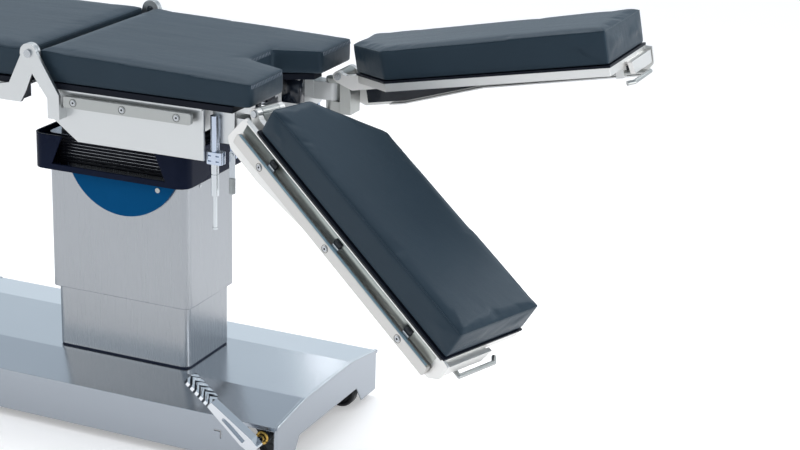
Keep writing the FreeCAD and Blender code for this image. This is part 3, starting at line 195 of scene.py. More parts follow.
# How brushed grain is stretched along X, Y and Z
ALONG_X = (6.0, 700.0, 700.0)
ALONG_Z = (700.0, 700.0, 6.0)
EVEN = (350.0, 350.0, 350.0)


def brushed_metal(name, colour, roughness, grain, edge=0.0008, streak=0.12, cloud=0.05, bump=0.12):
    """Metal brushed along one axis: grain is the texture's stretch along X, Y and Z."""
    material, tree, shader = new_material(name)
    shader.inputs["Metallic"].default_value = 1.0
    streaks = noise_node(tree, mapped(tree, grain), 1.0, 3.0, 0.6)
    clouds = noise_node(tree, mapped(tree), 5.0, 3.0, 0.5)
    mixed = mix_colour(tree, clouds, colour, shaded(colour, 1.0 - cloud * 2.0))
    rough = ramp(tree, streaks, roughness - streak, roughness + streak, 0.25, 0.75)
    normal = add_bump(tree, streaks, bump, 0.0004, soft_edges(tree, edge))
    link_finish(tree, shader, mixed, rough, normal)
    return material


def base_metal():
    """Polished steel, with the upright skirts painted darker than the top as painted shade."""
    material = brushed_metal("base_steel", (0.66, 0.68, 0.71), 0.19, ALONG_X, 0.0025, 0.03, 0.03, 0.04)
    tree = material.node_tree
    shader = next(node for node in tree.nodes if node.type == "BSDF_PRINCIPLED")
    coordinates = tree.nodes.new("ShaderNodeTexCoord")
    split = tree.nodes.new("ShaderNodeSeparateXYZ")
    tree.links.new(coordinates.outputs["Normal"], split.inputs["Vector"])
    # Painted shade: the less a face leans upwards, the more it takes the darker skirt colour.
    upward = ramp(tree, split.outputs["Z"], 0.0, 1.0, *SKIRT_TO_TOP)
    blend = tree.nodes.new("ShaderNodeMix")
    blend.data_type = "RGBA"
    tree.links.new(upward, blend.inputs["Factor"])
    blend.inputs["A"].default_value = (*SKIRT_PAINTED_SHADE, 1.0)
    top_colour = shader.inputs["Base Color"].links[0].from_socket
    tree.links.new(top_colour, blend.inputs["B"])
    tree.links.new(blend.outputs["Result"], shader.inputs["Base Color"])
    return material


def lever_metal():
    """A steel lever whose lower end is a grey plastic grip."""
    material, tree, shader = new_material("lever")
    vector = mapped(tree)
    split = tree.nodes.new("ShaderNodeSeparateXYZ")
    tree.links.new(vector, split.inputs["Vector"])
    steel = ramp(tree, split.outputs["Z"], 0.0, 1.0, LEVER_GRIP_Z - GRIP_EDGE, LEVER_GRIP_Z + GRIP_EDGE)
    grain = noise_node(tree, vector, 600.0, 2.0)
    tree.links.new(mix_colour(tree, steel, GRIP_GREY, LEVER_STEEL), shader.inputs["Base Color"])
    tree.links.new(steel, shader.inputs["Metallic"])
    tree.links.new(ramp(tree, steel, 0.55, 0.25), shader.inputs["Roughness"])
    tree.links.new(add_bump(tree, grain, 0.2, 0.0003, soft_edges(tree, 0.0006)), shader.inputs["Normal"])
    return material


def math_node(tree, operation, value, number=0.0):
    node = tree.nodes.new("ShaderNodeMath")
    node.operation = operation
    tree.links.new(value, node.inputs[0])
    node.inputs[1].default_value = number
    return node.outputs["Value"]


def tread_metal():
    """Chromed tread with chevron grooves across it, painted dark in the grooves as painted shade."""
    material, tree, shader = new_material("tread_metal")
    vector = mapped(tree)
    low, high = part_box("pedal_tread")
    along = tree.nodes.new("ShaderNodeVectorMath")
    along.operation = "DOT_PRODUCT"
    along.inputs[1].default_value = TREAD_RUN
    tree.links.new(vector, along.inputs[0])
    split = tree.nodes.new("ShaderNodeSeparateXYZ")
    tree.links.new(vector, split.inputs["Vector"])
    off = math_node(tree, "SUBTRACT", split.outputs["Y"], (low[1] + high[1]) / 2)
    slant = math_node(tree, "MULTIPLY", math_node(tree, "ABSOLUTE", off), CHEVRON_SLANT)
    total = tree.nodes.new("ShaderNodeMath")
    total.operation = "ADD"
    tree.links.new(along.outputs["Value"], total.inputs[0])
    tree.links.new(slant, total.inputs[1])
    saw = math_node(tree, "FRACT", math_node(tree, "DIVIDE", total.outputs["Value"], CHEVRON_PITCH))
    from_middle = math_node(tree, "ABSOLUTE", math_node(tree, "SUBTRACT", saw, 0.5))
    groove = ramp(tree, from_middle, 0.0, 1.0, *CHEVRON_EDGE)
    # Painted shade: the grooves take a near-black colour.
    tree.links.new(mix_colour(tree, groove, GROOVE_PAINTED_SHADE, TREAD_CHROME), shader.inputs["Base Color"])
    shader.inputs["Metallic"].default_value = 1.0
    shader.inputs["Roughness"].default_value = 0.18
    tree.links.new(add_bump(tree, groove, 0.5, 0.001, soft_edges(tree, 0.0008)), shader.inputs["Normal"])
    return material


def cast_metal(name, colour, roughness):
    """Fine-grained casting with a slightly uneven skin."""
    material, tree, shader = new_material(name)
    shader.inputs["Metallic"].default_value = 1.0
    vector = mapped(tree)
    grain = noise_node(tree, vector, 900.0, 2.0)
    clouds = noise_node(tree, vector, 20.0, 3.0)
    mixed = mix_colour(tree, clouds, colour, shaded(colour, 0.86))
    rough = ramp(tree, grain, roughness - 0.06, roughness + 0.06, 0.3, 0.7)
    normal = add_bump(tree, grain, 0.15, 0.0003, soft_edges(tree, 0.0012))
    link_finish(tree, shader, mixed, rough, normal)
    return material


def moulded(name, colour, roughness, grain_scale=700.0, bump=0.25, shine=0.3, edge=0.0012):
    """Moulded plastic or rubber with a fine texture and faint wear clouds."""
    material, tree, shader = new_material(name)
    vector = mapped(tree)
    grain = noise_node(tree, vector, grain_scale, 2.0)
    clouds = noise_node(tree, vector, 9.0, 4.0)
    lighter = tuple(min(1.0, channel * 1.25 + 0.004) for channel in colour)
    mixed = mix_colour(tree, clouds, colour, lighter)
    rough = ramp(tree, clouds, roughness - 0.07, roughness + 0.07, 0.3, 0.7)
    normal = add_bump(tree, grain, bump, 0.0003, soft_edges(tree, edge))
    link_finish(tree, shader, mixed, rough, normal)
    shader.inputs["Specular IOR Level"].default_value = shine
    return material


def vinyl(name, colour, roughness):
    """Upholstery vinyl: pebbled grain, faint stretch marks and slow changes of tone."""
    material, tree, shader = new_material(name)
    vector = mapped(tree)
    cells = tree.nodes.new("ShaderNodeTexVoronoi")
    cells.feature = "SMOOTH_F1"
    cells.inputs["Scale"].default_value = 900.0
    tree.links.new(vector, cells.inputs["Vector"])
    fine = noise_node(tree, vector, 2200.0, 2.0)
    marks = noise_node(tree, mapped(tree, (3.0, 9.0, 6.0)), 2.2, 3.0, 0.55)
    clouds = noise_node(tree, vector, 6.0, 3.0)
    mixed = mix_colour(tree, clouds, shaded(colour, 0.84), shaded(colour, 1.14))
    rough = ramp(tree, fine, roughness - 0.05, roughness + 0.08, 0.3, 0.7)
    normal = add_bump(tree, cells.outputs["Distance"], 0.28, 0.0005, add_bump(tree, marks, 0.35, 0.004))
    link_finish(tree, shader, mixed, rough, normal)
    shader.inputs["Specular IOR Level"].default_value = 0.26
    shader.inputs["Specular Tint"].default_value = (0.68, 0.85, 1.0, 1.0)
    return material


def thread_material():
    material, tree, shader = new_material("seam_thread")
    vector = mapped(tree)
    twist = noise_node(tree, vector, 1500.0, 2.0)
    tree.links.new(mix_colour(tree, twist, THREAD_DARK, THREAD_LIGHT), shader.inputs["Base Color"])
    shader.inputs["Roughness"].default_value = 0.7
    tree.links.new(add_bump(tree, twist, 0.4, 0.0003), shader.inputs["Normal"])
    return material


MATERIALS = {
    "column_steel": brushed_metal("column_steel", (0.35, 0.365, 0.385), 0.26, ALONG_Z, 0.002, 0.03, 0.03,
                                  0.03),
    "base_steel": base_metal(),
    "lever": lever_metal(),
    "tread_metal": tread_metal(),
    "stainless_bright": brushed_metal("stainless_bright", (0.60, 0.61, 0.61), 0.36, EVEN, 0.001, 0.05, 0.03),
    "leg_steel": brushed_metal("leg_steel", (0.76, 0.75, 0.73), 0.42, EVEN, 0.001, 0.05, 0.02),
    # Painted shade: the grey of the leg channels' recess.
    "channel_painted_shade": brushed_metal("channel_painted_shade", (0.42, 0.44, 0.41), 0.42, EVEN, 0.0003, 0.05, 0.06),
    "frame_steel": moulded("frame_steel", (0.05, 0.055, 0.06), 0.45, 500.0, 0.2),
    "machined_steel": brushed_metal("machined_steel", (0.50, 0.56, 0.66), 0.22, EVEN, 0.0006, 0.05, 0.04),
    "rail_steel": brushed_metal("rail_steel", (0.40, 0.41, 0.40), 0.34, EVEN, 0.0012, 0.05, 0.04),
    "leg_rail_steel": brushed_metal("leg_rail_steel", (0.58, 0.57, 0.55), 0.34, EVEN, 0.0012, 0.05, 0.03),
    "screw_steel": brushed_metal("screw_steel", (0.46, 0.48, 0.50), 0.24, EVEN, 0.0004, 0.05, 0.03),
    "chrome": brushed_metal("chrome", (0.66, 0.68, 0.71), 0.10, EVEN, 0.001, 0.03, 0.02),
    "lock_steel": brushed_metal("lock_steel", (0.56, 0.59, 0.61), 0.18, ALONG_Z, 0.0006, 0.04, 0.03, 0.04),
    # Painted highlight: the bright metal of the lip beads.
    "lip_highlight_steel": brushed_metal("lip_highlight_steel", (0.86, 0.88, 0.90), 0.22, EVEN, 0.0003, 0.03, 0.02, 0.03),
    "brass": brushed_metal("brass", (0.62, 0.40, 0.10), 0.3, EVEN, 0.0005, 0.05, 0.05),
    "cast_aluminium": cast_metal("cast_aluminium", (0.50, 0.51, 0.49), 0.42),
    "dark_seal": moulded("dark_seal", (0.008, 0.014, 0.035), 0.5, 700.0, 0.2, 0.2),
    # Near-black for the screw rings, and painted shade on the leg clips and the screw sockets.
    "dark_joint_and_shade": moulded("dark_joint_and_shade", (0.010, 0.012, 0.015), 0.4, 500.0, 0.2, 0.3),
    "inner_liner": moulded("inner_liner", (0.008, 0.012, 0.020), 0.20, 400.0, 0.1, 0.35),
    # Painted reflection: the bluish strip on the leg rails' top edges.
    "rail_top_reflection": moulded("rail_top_reflection", (0.20, 0.30, 0.36), 0.35, 500.0, 0.1, 0.3),
    "navy_moulding": moulded("navy_moulding", (0.004, 0.008, 0.024), 0.26, 500.0, 0.12, 0.05, 0.004),
    "bellows_rubber": moulded("bellows_rubber", (0.004, 0.005, 0.009), 0.42, 600.0, 0.3, 0.12),
    "blue_plastic": moulded("blue_plastic", (0.0, 0.075, 0.21), 0.5, 500.0, 0.15, 0.03),
    "pad_vinyl": vinyl("pad_vinyl", (0.020, 0.034, 0.048), 0.40),
    "pad_piping": vinyl("pad_piping", (0.020, 0.035, 0.050), 0.36),
    "pad_board": moulded("pad_board", (0.004, 0.006, 0.012), 0.45, 400.0, 0.2, 0.12),
    "castor_tyre": moulded("castor_tyre", (0.012, 0.013, 0.016), 0.45, 300.0, 0.3),
    "seam_thread": thread_material(),
}
SLOT_LOOK = {"stainless_brushed": "column_steel"}
NODE_LOOK = {
    "base_cover": "base_steel", "pedal_tread": "tread_metal", "pedal_arm": "chrome",
    "latch_lever_near": "lever", "latch_lever_far": "lever",
    "lock_handle_near": "lock_steel", "lock_handle_far": "lock_steel",
    "leg_frame_near": "leg_steel", "leg_frame_far": "leg_steel",
    "leg_rail_near": "leg_rail_steel", "leg_rail_far": "leg_rail_steel",
    "leg_end_rail_near": "leg_steel", "leg_end_rail_far": "leg_steel",
}


def dress_frame():
    """Gives each carried-over piece the finish of its slot."""
    slot_of = {row["node"]: row["material_slot"] for row in frame["record"]["subparts"]}
    for name, obj in nodes.items():
        slot_name = slot_of[name]
        look = NODE_LOOK.get(name, SLOT_LOOK.get(slot_name, slot_name))
        obj.data.materials.clear()
        obj.data.materials.append(MATERIALS[look])


# Shapes

# Cushions: rounds of smoothing, cloth frames, how far the underside may move and what counts as underside
PAD_ROUNDS = 3
CLOTH_FRAMES = 20
UNDERSIDE_MOVE, UNDERSIDE_LEAN = 0.0004, 0.6


def make_object(name, mesh, look, body):
    obj = bpy.data.objects.new(name, mesh)
    bpy.context.scene.collection.objects.link(obj)
    mesh.materials.clear()
    mesh.materials.append(MATERIALS[look])
    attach(obj, body)
    return obj


def leg_matrix(name):
    """From a leg's own frame, X along it, Y across to the far side and Z up, to the table's."""
    joint = joints["tilt_" + name]
    spread = SIDES[name] * math.radians(LEG_SPREAD[name])
    tilt = -math.radians(LEG_TILT[name])
    turn = Matrix.Rotation(spread, 4, "Z") @ Matrix.Rotation(tilt, 4, "Y")
    return Matrix.Translation(Vector(joint["pos_m"])) @ turn


def remeshed(source, matrix, voxel):
    """The node's mesh in a frame of its own, in even quads."""
    mesh = source.data.copy()
    mesh.transform(matrix.inverted())
    scratch = bpy.data.objects.new("scratch", mesh)
    bpy.context.scene.collection.objects.link(scratch)
    modifier = scratch.modifiers.new("remesh", "REMESH")
    modifier.mode = "VOXEL"
    modifier.voxel_size = voxel
    shown = scratch.evaluated_get(bpy.context.evaluated_depsgraph_get())
    result = bpy.data.meshes.new_from_object(shown)
    bpy.data.objects.remove(scratch)
    return result


def smoothed(mesh, rounds, inset):
    """Rounds the corners off and draws the skin in a little, so that it has room to swell."""
    work = bmesh.new()
    work.from_mesh(mesh)
    for step in range(rounds):
        bmesh.ops.smooth_vert(work, verts=work.verts, factor=0.5, use_axis_x=True, use_axis_y=True,
                              use_axis_z=True)
    work.normal_update()
    for vertex in work.verts:
        vertex.co -= vertex.normal * inset
    work.to_mesh(mesh)
    work.free()


def swell(obj, pressure, slack, cap):
    """Blows the skin up like cloth; no point moves further than cap, and the underside stays flat."""
    start = [vertex.co.copy() for vertex in obj.data.vertices]
    normals = [vertex.normal.copy() for vertex in obj.data.vertices]
    cloth = obj.modifiers.new("cloth", "CLOTH")
    cloth.settings.quality = 4
    cloth.settings.mass = 0.2
    cloth.settings.tension_stiffness = 12.0
    cloth.settings.compression_stiffness = 12.0
    cloth.settings.shear_stiffness = 4.0
    cloth.settings.bending_stiffness = 0.6
    cloth.settings.use_pressure = True
    cloth.settings.uniform_pressure_force = pressure
    cloth.settings.shrink_min = -slack
    cloth.settings.effector_weights.gravity = 0.0
    cloth.collision_settings.use_collision = False
    scene = bpy.context.scene
    for number in range(1, CLOTH_FRAMES + 1):
        scene.frame_set(number)
    shown = obj.evaluated_get(bpy.context.evaluated_depsgraph_get())
    swollen = [vertex.co.copy() for vertex in shown.data.vertices]
    obj.modifiers.remove(cloth)
    scene.frame_set(1)
    for vertex, first, last, normal in zip(obj.data.vertices, start, swollen, normals):
        move = last - first
        limit = UNDERSIDE_MOVE if normal.dot(DOWN) > UNDERSIDE_LEAN else cap
        if move.length > limit:
            move *= limit / move.length
        vertex.co = first + move


def pad(name, node, body, matrix, voxel, cap=0.004, inset=0.0005, pressure=4.0, slack=0.004):
    """A cushion made from the node's own solid."""
    mesh = remeshed(nodes[node], matrix, voxel)
    smoothed(mesh, PAD_ROUNDS, inset)
    obj = make_object(name, mesh, "pad_vinyl", body)
    swell(obj, pressure, slack, cap)
    mesh.transform(matrix)
    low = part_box(node)[0]
    # The level cushions stay on their boards.
    if matrix == Matrix.Identity(4):
        for vertex in mesh.vertices:
            vertex.co.z = max(vertex.co.z, low[2])
    for polygon in mesh.polygons:
        polygon.use_smooth = True
    subdivide = obj.modifiers.new("subdivide", "SUBSURF")
    subdivide.levels = 1
    subdivide.render_levels = 1
    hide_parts(node)
    return obj


def pads():
    still = Matrix.Identity(4)
    made = {
        "seat": pad("seat_cushion", "seat_pad", "seat", still, voxel=0.0055),
        "back": pad("back_cushion", "back_pad", "back", still, voxel=0.007),
        "head": pad("head_cushion", "head_pad", "head", still, voxel=0.006),
    }
    for name in SIDES:
        made[name] = pad("leg_cushion_" + name, "leg_pad_" + name, "leg_" + name, leg_matrix(name),
                         voxel=0.0055)
    return made


# Small pieces on the frame

# Places and sizes of the small pieces, in millimetres from the column's foot, or on a leg from its tilt pin
RAIL_FACE_Y = 262.0
RAIL_SCREW_Z = 785.5
SEAT_SCREWS = (-14.0, 110.5, 246.0)
LEG_SCREWS = (101.0, 334.0, 579.0)
LEG_SCREW_C = -46.5
LEG_CLIPS = (124.0, 349.0, 585.0)
LEG_RAIL_FACE = 81.0
LINER_DEPTHS = (60.4, 59.6)
LINER_OUTLINE = ((16.0, -84.0), (112.0, -84.0), (309.0, -60.0), (660.0, -57.0), (660.0, -22.0), (40.0, -22.0),
                 (16.0, -36.0))
COVER_X, COVER_Y, COVER_Z, COVER_THICK = (316.0, 360.0), (92.0, 118.0), (748.0, 803.0), 0.8
SLEEVE_HALF_X, SLEEVE_Y, SLEEVE_DEPTH = 150.0, 111.3, 2.2
SLEEVE_LOW_Z, SLEEVE_TOP_Z, SLEEVE_PLEATS = 596.0, 656.0, 8
DISC_SCREW, CORNER_SCREW, PEDAL_BUSH = (113, 119.5, 566), (185.5, -53, 569), (452, -257, 88)
# Corner of each block on a leg, in millimetres, and its size along, outwards and up, in metres
# Painted shade: the clips between the rail and the upper flange are near-black for the shade on them.
CLIP = (-9.5, 67.5, -24.0), (0.019, 0.0079, 0.0125)
# Painted reflection: a thin bluish strip on the rail's top edge stands for the light seen in that face.
RAIL_REFLECTION_STRIP = (20, 74.6, -33.6), (0.64, 0.0062, 0.0014)
# Painted shade: a thin grey sheet in the side plate's channel stands for the shade in that recess.
CHANNEL_SHADE_SHEET = (16, 66.9, -32.3), (0.648, 0.0006, 0.0292)
# Corners of a round wire, a disc and a ring
WIRE_SIDES, DISC_SIDES, RING_STEPS = 6, 20, 28
# Radii and heights, in metres
SCREW_RING, SCREW_WIRE = 0.0085, 0.0006
SOCKET_R, SOCKET_HEIGHTS = 0.0026, (0.0012, 0.0018)
DISC_SCREW_SIZE, CORNER_SCREW_SIZE, BUSH_SIZE = (0.006, 0.0015), (0.004, 0.001), (0.0125, 0.0035)
# Painted highlight: the beads are bright metal lines standing for the highlights along the base's lip.
# Beads on the base: distance in from its end and from its sides, steps across it, start of the rays above
# its top, deepest place below its top, and radius
BEAD_INSETS, BEAD_SIDE, BEAD_STEPS = (0.0012, 0.0085), 0.004, 60
BEAD_RAY, BEAD_DROP, BEAD_R = 0.05, 0.08, 0.0011


def at(x, y, z):
    """A place given in millimetres from the column's foot."""
    return COLUMN + Vector((x, y, z)) * MM


def leg_at(name, a, b, c):
    """A place on a leg in millimetres: a along it, b outwards, c up, from its tilt pin."""
    return leg_matrix(name) @ (Vector((a, SIDES[name] * b, c)) * MM)


def across(run):
    """Two unit vectors square to a run and to each other."""
    side = run.cross(UP if abs(run.z) < 0.9 else TO_FOOT).normalized()
    return side, side.cross(run).normalized()


def tube_mesh(points, radius, sides=8, closed=False):
    """A round wire of the given radius along a row of points."""
    vertices, faces = [], []
    count = len(points)
    for index, point in enumerate(points):
        before = points[index - 1] if index or closed else point
        after = points[(index + 1) % count] if index < count - 1 or closed else point
        run = (after - before).normalized()
        side, up = across(run)
        for step in range(sides):
            angle = 2.0 * math.pi * step / sides
            vertices.append(point + (side * math.cos(angle) + up * math.sin(angle)) * radius)
    last = count if closed else count - 1
    for index in range(last):
        start_a, start_b = index * sides, ((index + 1) % count) * sides
        for step in range(sides):
            other = (step + 1) % sides
            faces.append((start_a + step, start_a + other, start_b + other, start_b + step))
    if not closed:
        faces.append(tuple(reversed(range(sides))))
        faces.append(tuple(range((count - 1) * sides, count * sides)))
    return vertices, faces


def joined_mesh(name, groups, smooth=True):
    """One mesh from several (vertices, faces) groups; smooth shades its four-sided faces as one surface."""
    vertices, faces = [], []
    for some_vertices, some_faces in groups:
        offset = len(vertices)
        vertices += some_vertices
        faces += [tuple(index + offset for index in face) for face in some_faces]
    mesh = bpy.data.meshes.new(name)
    mesh.from_pydata(vertices, [], faces)
    mesh.update()
    for polygon in mesh.polygons:
        polygon.use_smooth = smooth and len(polygon.vertices) == 4
    return mesh


def small_piece(name, groups, look, body, smooth=True):
    """A piece of the scene alone, riding on a body."""
    return make_object(name, joined_mesh(name, groups, smooth), look, body)


def block_mesh(corner, edges):
    """A block from one corner and its three edge vectors."""
    one, two, three = edges
    vertices = [corner + one * i + two * j + three * k for k in (0, 1) for j in (0, 1) for i in (0, 1)]
    faces = [(0, 2, 3, 1), (4, 5, 7, 6), (0, 1, 5, 4), (2, 6, 7, 3), (0, 4, 6, 2), (1, 3, 7, 5)]
    return vertices, faces


def ring_mesh(centre, axis, radius, wire):
    side, up = across(axis)
    points = []
    for step in range(RING_STEPS):
        angle = 2.0 * math.pi * step / RING_STEPS
        points.append(centre + (side * math.cos(angle) + up * math.sin(angle)) * radius)
    return tube_mesh(points, wire, WIRE_SIDES, True)


def disc_mesh(centre, axis, radius, height):
    return tube_mesh([centre, centre + axis * height], radius, DISC_SIDES)


def screw_marks(name, places, axis, body):
    """Hexagon sockets, dark as painted shade in their recesses, and the thin countersink rings round the
    rails' screw heads.
    """
    rings = [ring_mesh(place, axis, SCREW_RING, SCREW_WIRE) for place in places]
    # Painted shade: a dark hexagon stands just off each screw head where its socket is.
    sockets = []
    for place in places:
        ends = [place + axis * height for height in SOCKET_HEIGHTS]
        sockets.append(tube_mesh(ends, SOCKET_R, WIRE_SIDES))
    small_piece(name + "_rings", rings, "dark_joint_and_shade", body)
    small_piece(name + "_sockets", sockets, "dark_joint_and_shade", body)


def leg_axes(name):
    """Unit vectors along a leg, outwards and up."""
    origin = leg_at(name, 0, 0, 0)
    return [(leg_at(name, *step) - origin).normalized() for step in ((1, 0, 0), (0, 1, 0), (0, 0, 1))]


def leg_block(name, block, shift=0.0):
    """A block on a leg, moved along it by shift."""
    corner, sizes = block
    edges = tuple(axis * size for axis, size in zip(leg_axes(name), sizes))
    return block_mesh(leg_at(name, shift + corner[0], corner[1], corner[2]), edges)


def rail_details():
    for word, side in SIDES.items():
        places = [at(x, side * RAIL_FACE_Y, RAIL_SCREW_Z) for x in SEAT_SCREWS]
        screw_marks("seat_rail_" + word, places, Vector((0.0, side, 0.0)), "seat")
    for name in SIDES:
        body = "leg_" + name
        places = [leg_at(name, a, LEG_RAIL_FACE, LEG_SCREW_C) for a in LEG_SCREWS]
        screw_marks("leg_rail_" + name, places, leg_axes(name)[1], body)
        clips = [leg_block(name, CLIP, a) for a in LEG_CLIPS]
        # Painted shade: the clips are near-black where shade falls between rail and flange.
        small_piece("leg_clips_" + name, clips, "dark_joint_and_shade", body)
        # Painted reflection: the bluish strip on the rail's top edge.
        small_piece("leg_rail_top_reflection_" + name, [leg_block(name, RAIL_REFLECTION_STRIP)], "rail_top_reflection", body)
        # Painted shade: the grey sheet in the channel.
        small_piece("leg_channel_shade_" + name, [leg_block(name, CHANNEL_SHADE_SHEET)], "channel_painted_shade", body)


def leg_liners():
    """Dark plastic sheet inside each leg's side plate."""
    for name in SIDES:
        vertices = [leg_at(name, a, depth, c) for depth in LINER_DEPTHS for a, c in LINER_OUTLINE]
        count = len(LINER_OUTLINE)
        faces = [tuple(range(count)), tuple(reversed(range(count, 2 * count)))]
        faces += [(i, (i + 1) % count, count + (i + 1) % count, count + i) for i in range(count)]
        small_piece("leg_liner_" + name, [(vertices, faces)], "inner_liner", "leg_" + name,
                    False)


def column_sleeve():
    """Pleated sleeve on the column inside the shell, where its open sides show it."""
    for word, side in SIDES.items():
        vertices, faces = [], []
        rows = 2 * SLEEVE_PLEATS + 1
        for row in range(rows):
            z = SLEEVE_LOW_Z + (SLEEVE_TOP_Z - SLEEVE_LOW_Z) * row / (rows - 1)
            y = SLEEVE_Y + (SLEEVE_DEPTH if row % 2 else 0.0)
            vertices += [at(-SLEEVE_HALF_X, side * y, z), at(SLEEVE_HALF_X, side * y, z)]
        for row in range(rows - 1):
            a = 2 * row
            faces.append((a, a + 1, a + 3, a + 2) if side < 0 else (a + 1, a, a + 2, a + 3))
        name = "column_sleeve_" + word
        small_piece(name, [(vertices, faces)], "bellows_rubber", "lift", False)


def bracket_covers():
    """Dark covers on the inner sides of the two leg brackets, under the cut-out."""
    for word, side in SIDES.items():
        along = Vector((COVER_X[1] - COVER_X[0], 0, 0)) * MM
        wide = Vector((0, side * (COVER_Y[1] - COVER_Y[0]), 0)) * MM
        high = Vector((0, 0, COVER_Z[1] - COVER_Z[0])) * MM
        inner = block_mesh(at(COVER_X[0], side * COVER_Y[0], COVER_Z[0]),
                           (along, Vector((0, -side * COVER_THICK, 0)) * MM, high))
        foot = block_mesh(at(COVER_X[1], side * COVER_Y[0], COVER_Z[0]),
                          (Vector((COVER_THICK, 0, 0)) * MM, wide, high))
        small_piece("bracket_cover_" + word, [inner, foot], "inner_liner", "seat")


def base_highlight_beads():
    """Two bright beads along the folded lip at each end of the base: a painted highlight, in metal brighter
    than the base.
    """
    low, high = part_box("base_cover")
    bpy.context.view_layer.update()
    tree = BVHTree.FromObject(nodes["base_cover"], bpy.context.evaluated_depsgraph_get())
    middle = (low[1] + high[1]) / 2
    half = (high[1] - low[1]) / 2 - BEAD_SIDE
    beads = []
    for edge, inward in ((high[0], -1.0), (low[0], 1.0)):
        for inset in BEAD_INSETS:
            line = []
            for step in range(BEAD_STEPS + 1):
                y = middle + half * (2.0 * step / BEAD_STEPS - 1.0)
                above = Vector((edge + inward * inset, y, high[2] + BEAD_RAY))
                place = tree.ray_cast(above, DOWN)[0]
                if place is not None and place.z > high[2] - BEAD_DROP:
                    line.append(place)
            beads.append(tube_mesh(line, BEAD_R))
    small_piece("base_highlight_beads", beads, "lip_highlight_steel", "base")


def column_details():
    """The screws in the blue discs, the screw in the column's corner and the brass bush of the pedal."""
    for word, side in SIDES.items():
        x, y, z = DISC_SCREW
        head = disc_mesh(at(x, side * y, z), Vector((0.0, side, 0.0)), *DISC_SCREW_SIZE)
        small_piece("disc_screw_" + word, [head], "rail_steel", "lift")
    corner_screw = disc_mesh(at(*CORNER_SCREW), TO_FOOT, *CORNER_SCREW_SIZE)
    small_piece("cover_screw", [corner_screw], "screw_steel", "lift")
    bush = ring_mesh(at(*PEDAL_BUSH), Vector((0.0, 1.0, 0.0)), *BUSH_SIZE)
    small_piece("pedal_bush", [bush], "brass", "base")


# Seams of the cushions

# Piping, in metres: how far it lies off the skin, the spacing of its points and its radius
PIPING_LIFT, PIPING_STEP, PIPING_R = 0.0002, 0.0035, 0.0011
# Stitches, in metres: reach below and above the edge, how far out each end is looked for, lift and radius
STITCH_LENGTH, STITCH_RISE, STITCH_OUT = 0.008, 0.001, (0.004, 0.006)
STITCH_LIFT, STITCH_R = 0.0003, 0.0010
# Corners of the seat's top from the column's foot, and of a leg's top on the leg, in millimetres
SEAT_HEAD_X, SEAT_FOOT_X, SEAT_HALF_W = -112.0, 418.0, 250.0
CUTOUT_X, CUTOUT_HALF_W, CUTOUT_ROOT_HALF_W = 316.0, 95.0, 50.0
SEAT_TOP_HEAD_Z, SEAT_TOP_FOOT_Z = 893.0, 875.0
LEG_START, LEG_END, LEG_TAPER_A = 45.0, 683.0, 173.0
LEG_OUTER, LEG_INNER, LEG_HINGE_INNER = 71.0, -171.0, -41.0
LEG_TOP_HINGE_C, LEG_TOP_FOOT_C = 72.4, 79.4


def polyline(points, step):
    """Evenly spaced points along straight runs between the given corners."""
    line = []
    for start, end in zip(points, points[1:]):
        count = max(2, round((end - start).length / step))
        line += [start.lerp(end, index / count) for index in range(count)]
    return line + [points[-1]]


def on_skin(tree, point, lift):
    """The nearest place on a cushion, lifted off it along the skin's normal."""
    place, normal = tree.find_nearest(point)[:2]
    return place + normal * lift


def seam(name, cushion, corners, body, face=None):
    """Piping along a cushion's edge and, with a face, short stitches over the edge on to that face."""
    bpy.context.view_layer.update()
    tree = BVHTree.FromObject(cushion, bpy.context.evaluated_depsgraph_get())
    line = [on_skin(tree, point, PIPING_LIFT) for point in polyline(corners, PIPING_STEP)]
    smooth = [line[0]]
    for before, here, after in zip(line, line[1:], line[2:]):
        smooth.append((before + here * 2.0 + after) * 0.25)
    smooth.append(line[-1])
    small_piece(name + "_piping", [tube_mesh(smooth, PIPING_R)], "pad_piping", body)
    if face is None:
        return
    stitches = []
    for point in smooth[2:-2:2]:
        top = on_skin(tree, point + face * STITCH_OUT[0] + UP * STITCH_RISE, STITCH_LIFT)
        low = on_skin(tree, point + face * STITCH_OUT[1] - UP * STITCH_LENGTH, STITCH_LIFT)
        stitches.append(tube_mesh([top, top.lerp(low, 0.5), low], STITCH_R, WIRE_SIDES))
    small_piece(name + "_stitches", stitches, "seam_thread", body)


def seat_top(x, y):
    share = (x - SEAT_HEAD_X) / (SEAT_FOOT_X - SEAT_HEAD_X)
    return at(x, y, SEAT_TOP_HEAD_Z + (SEAT_TOP_FOOT_Z - SEAT_TOP_HEAD_Z) * share)


def leg_top(name, a, b):
    share = (a - LEG_START) / (LEG_END - LEG_START)
    return leg_at(name, a, b, LEG_TOP_HINGE_C + (LEG_TOP_FOOT_C - LEG_TOP_HINGE_C) * share)


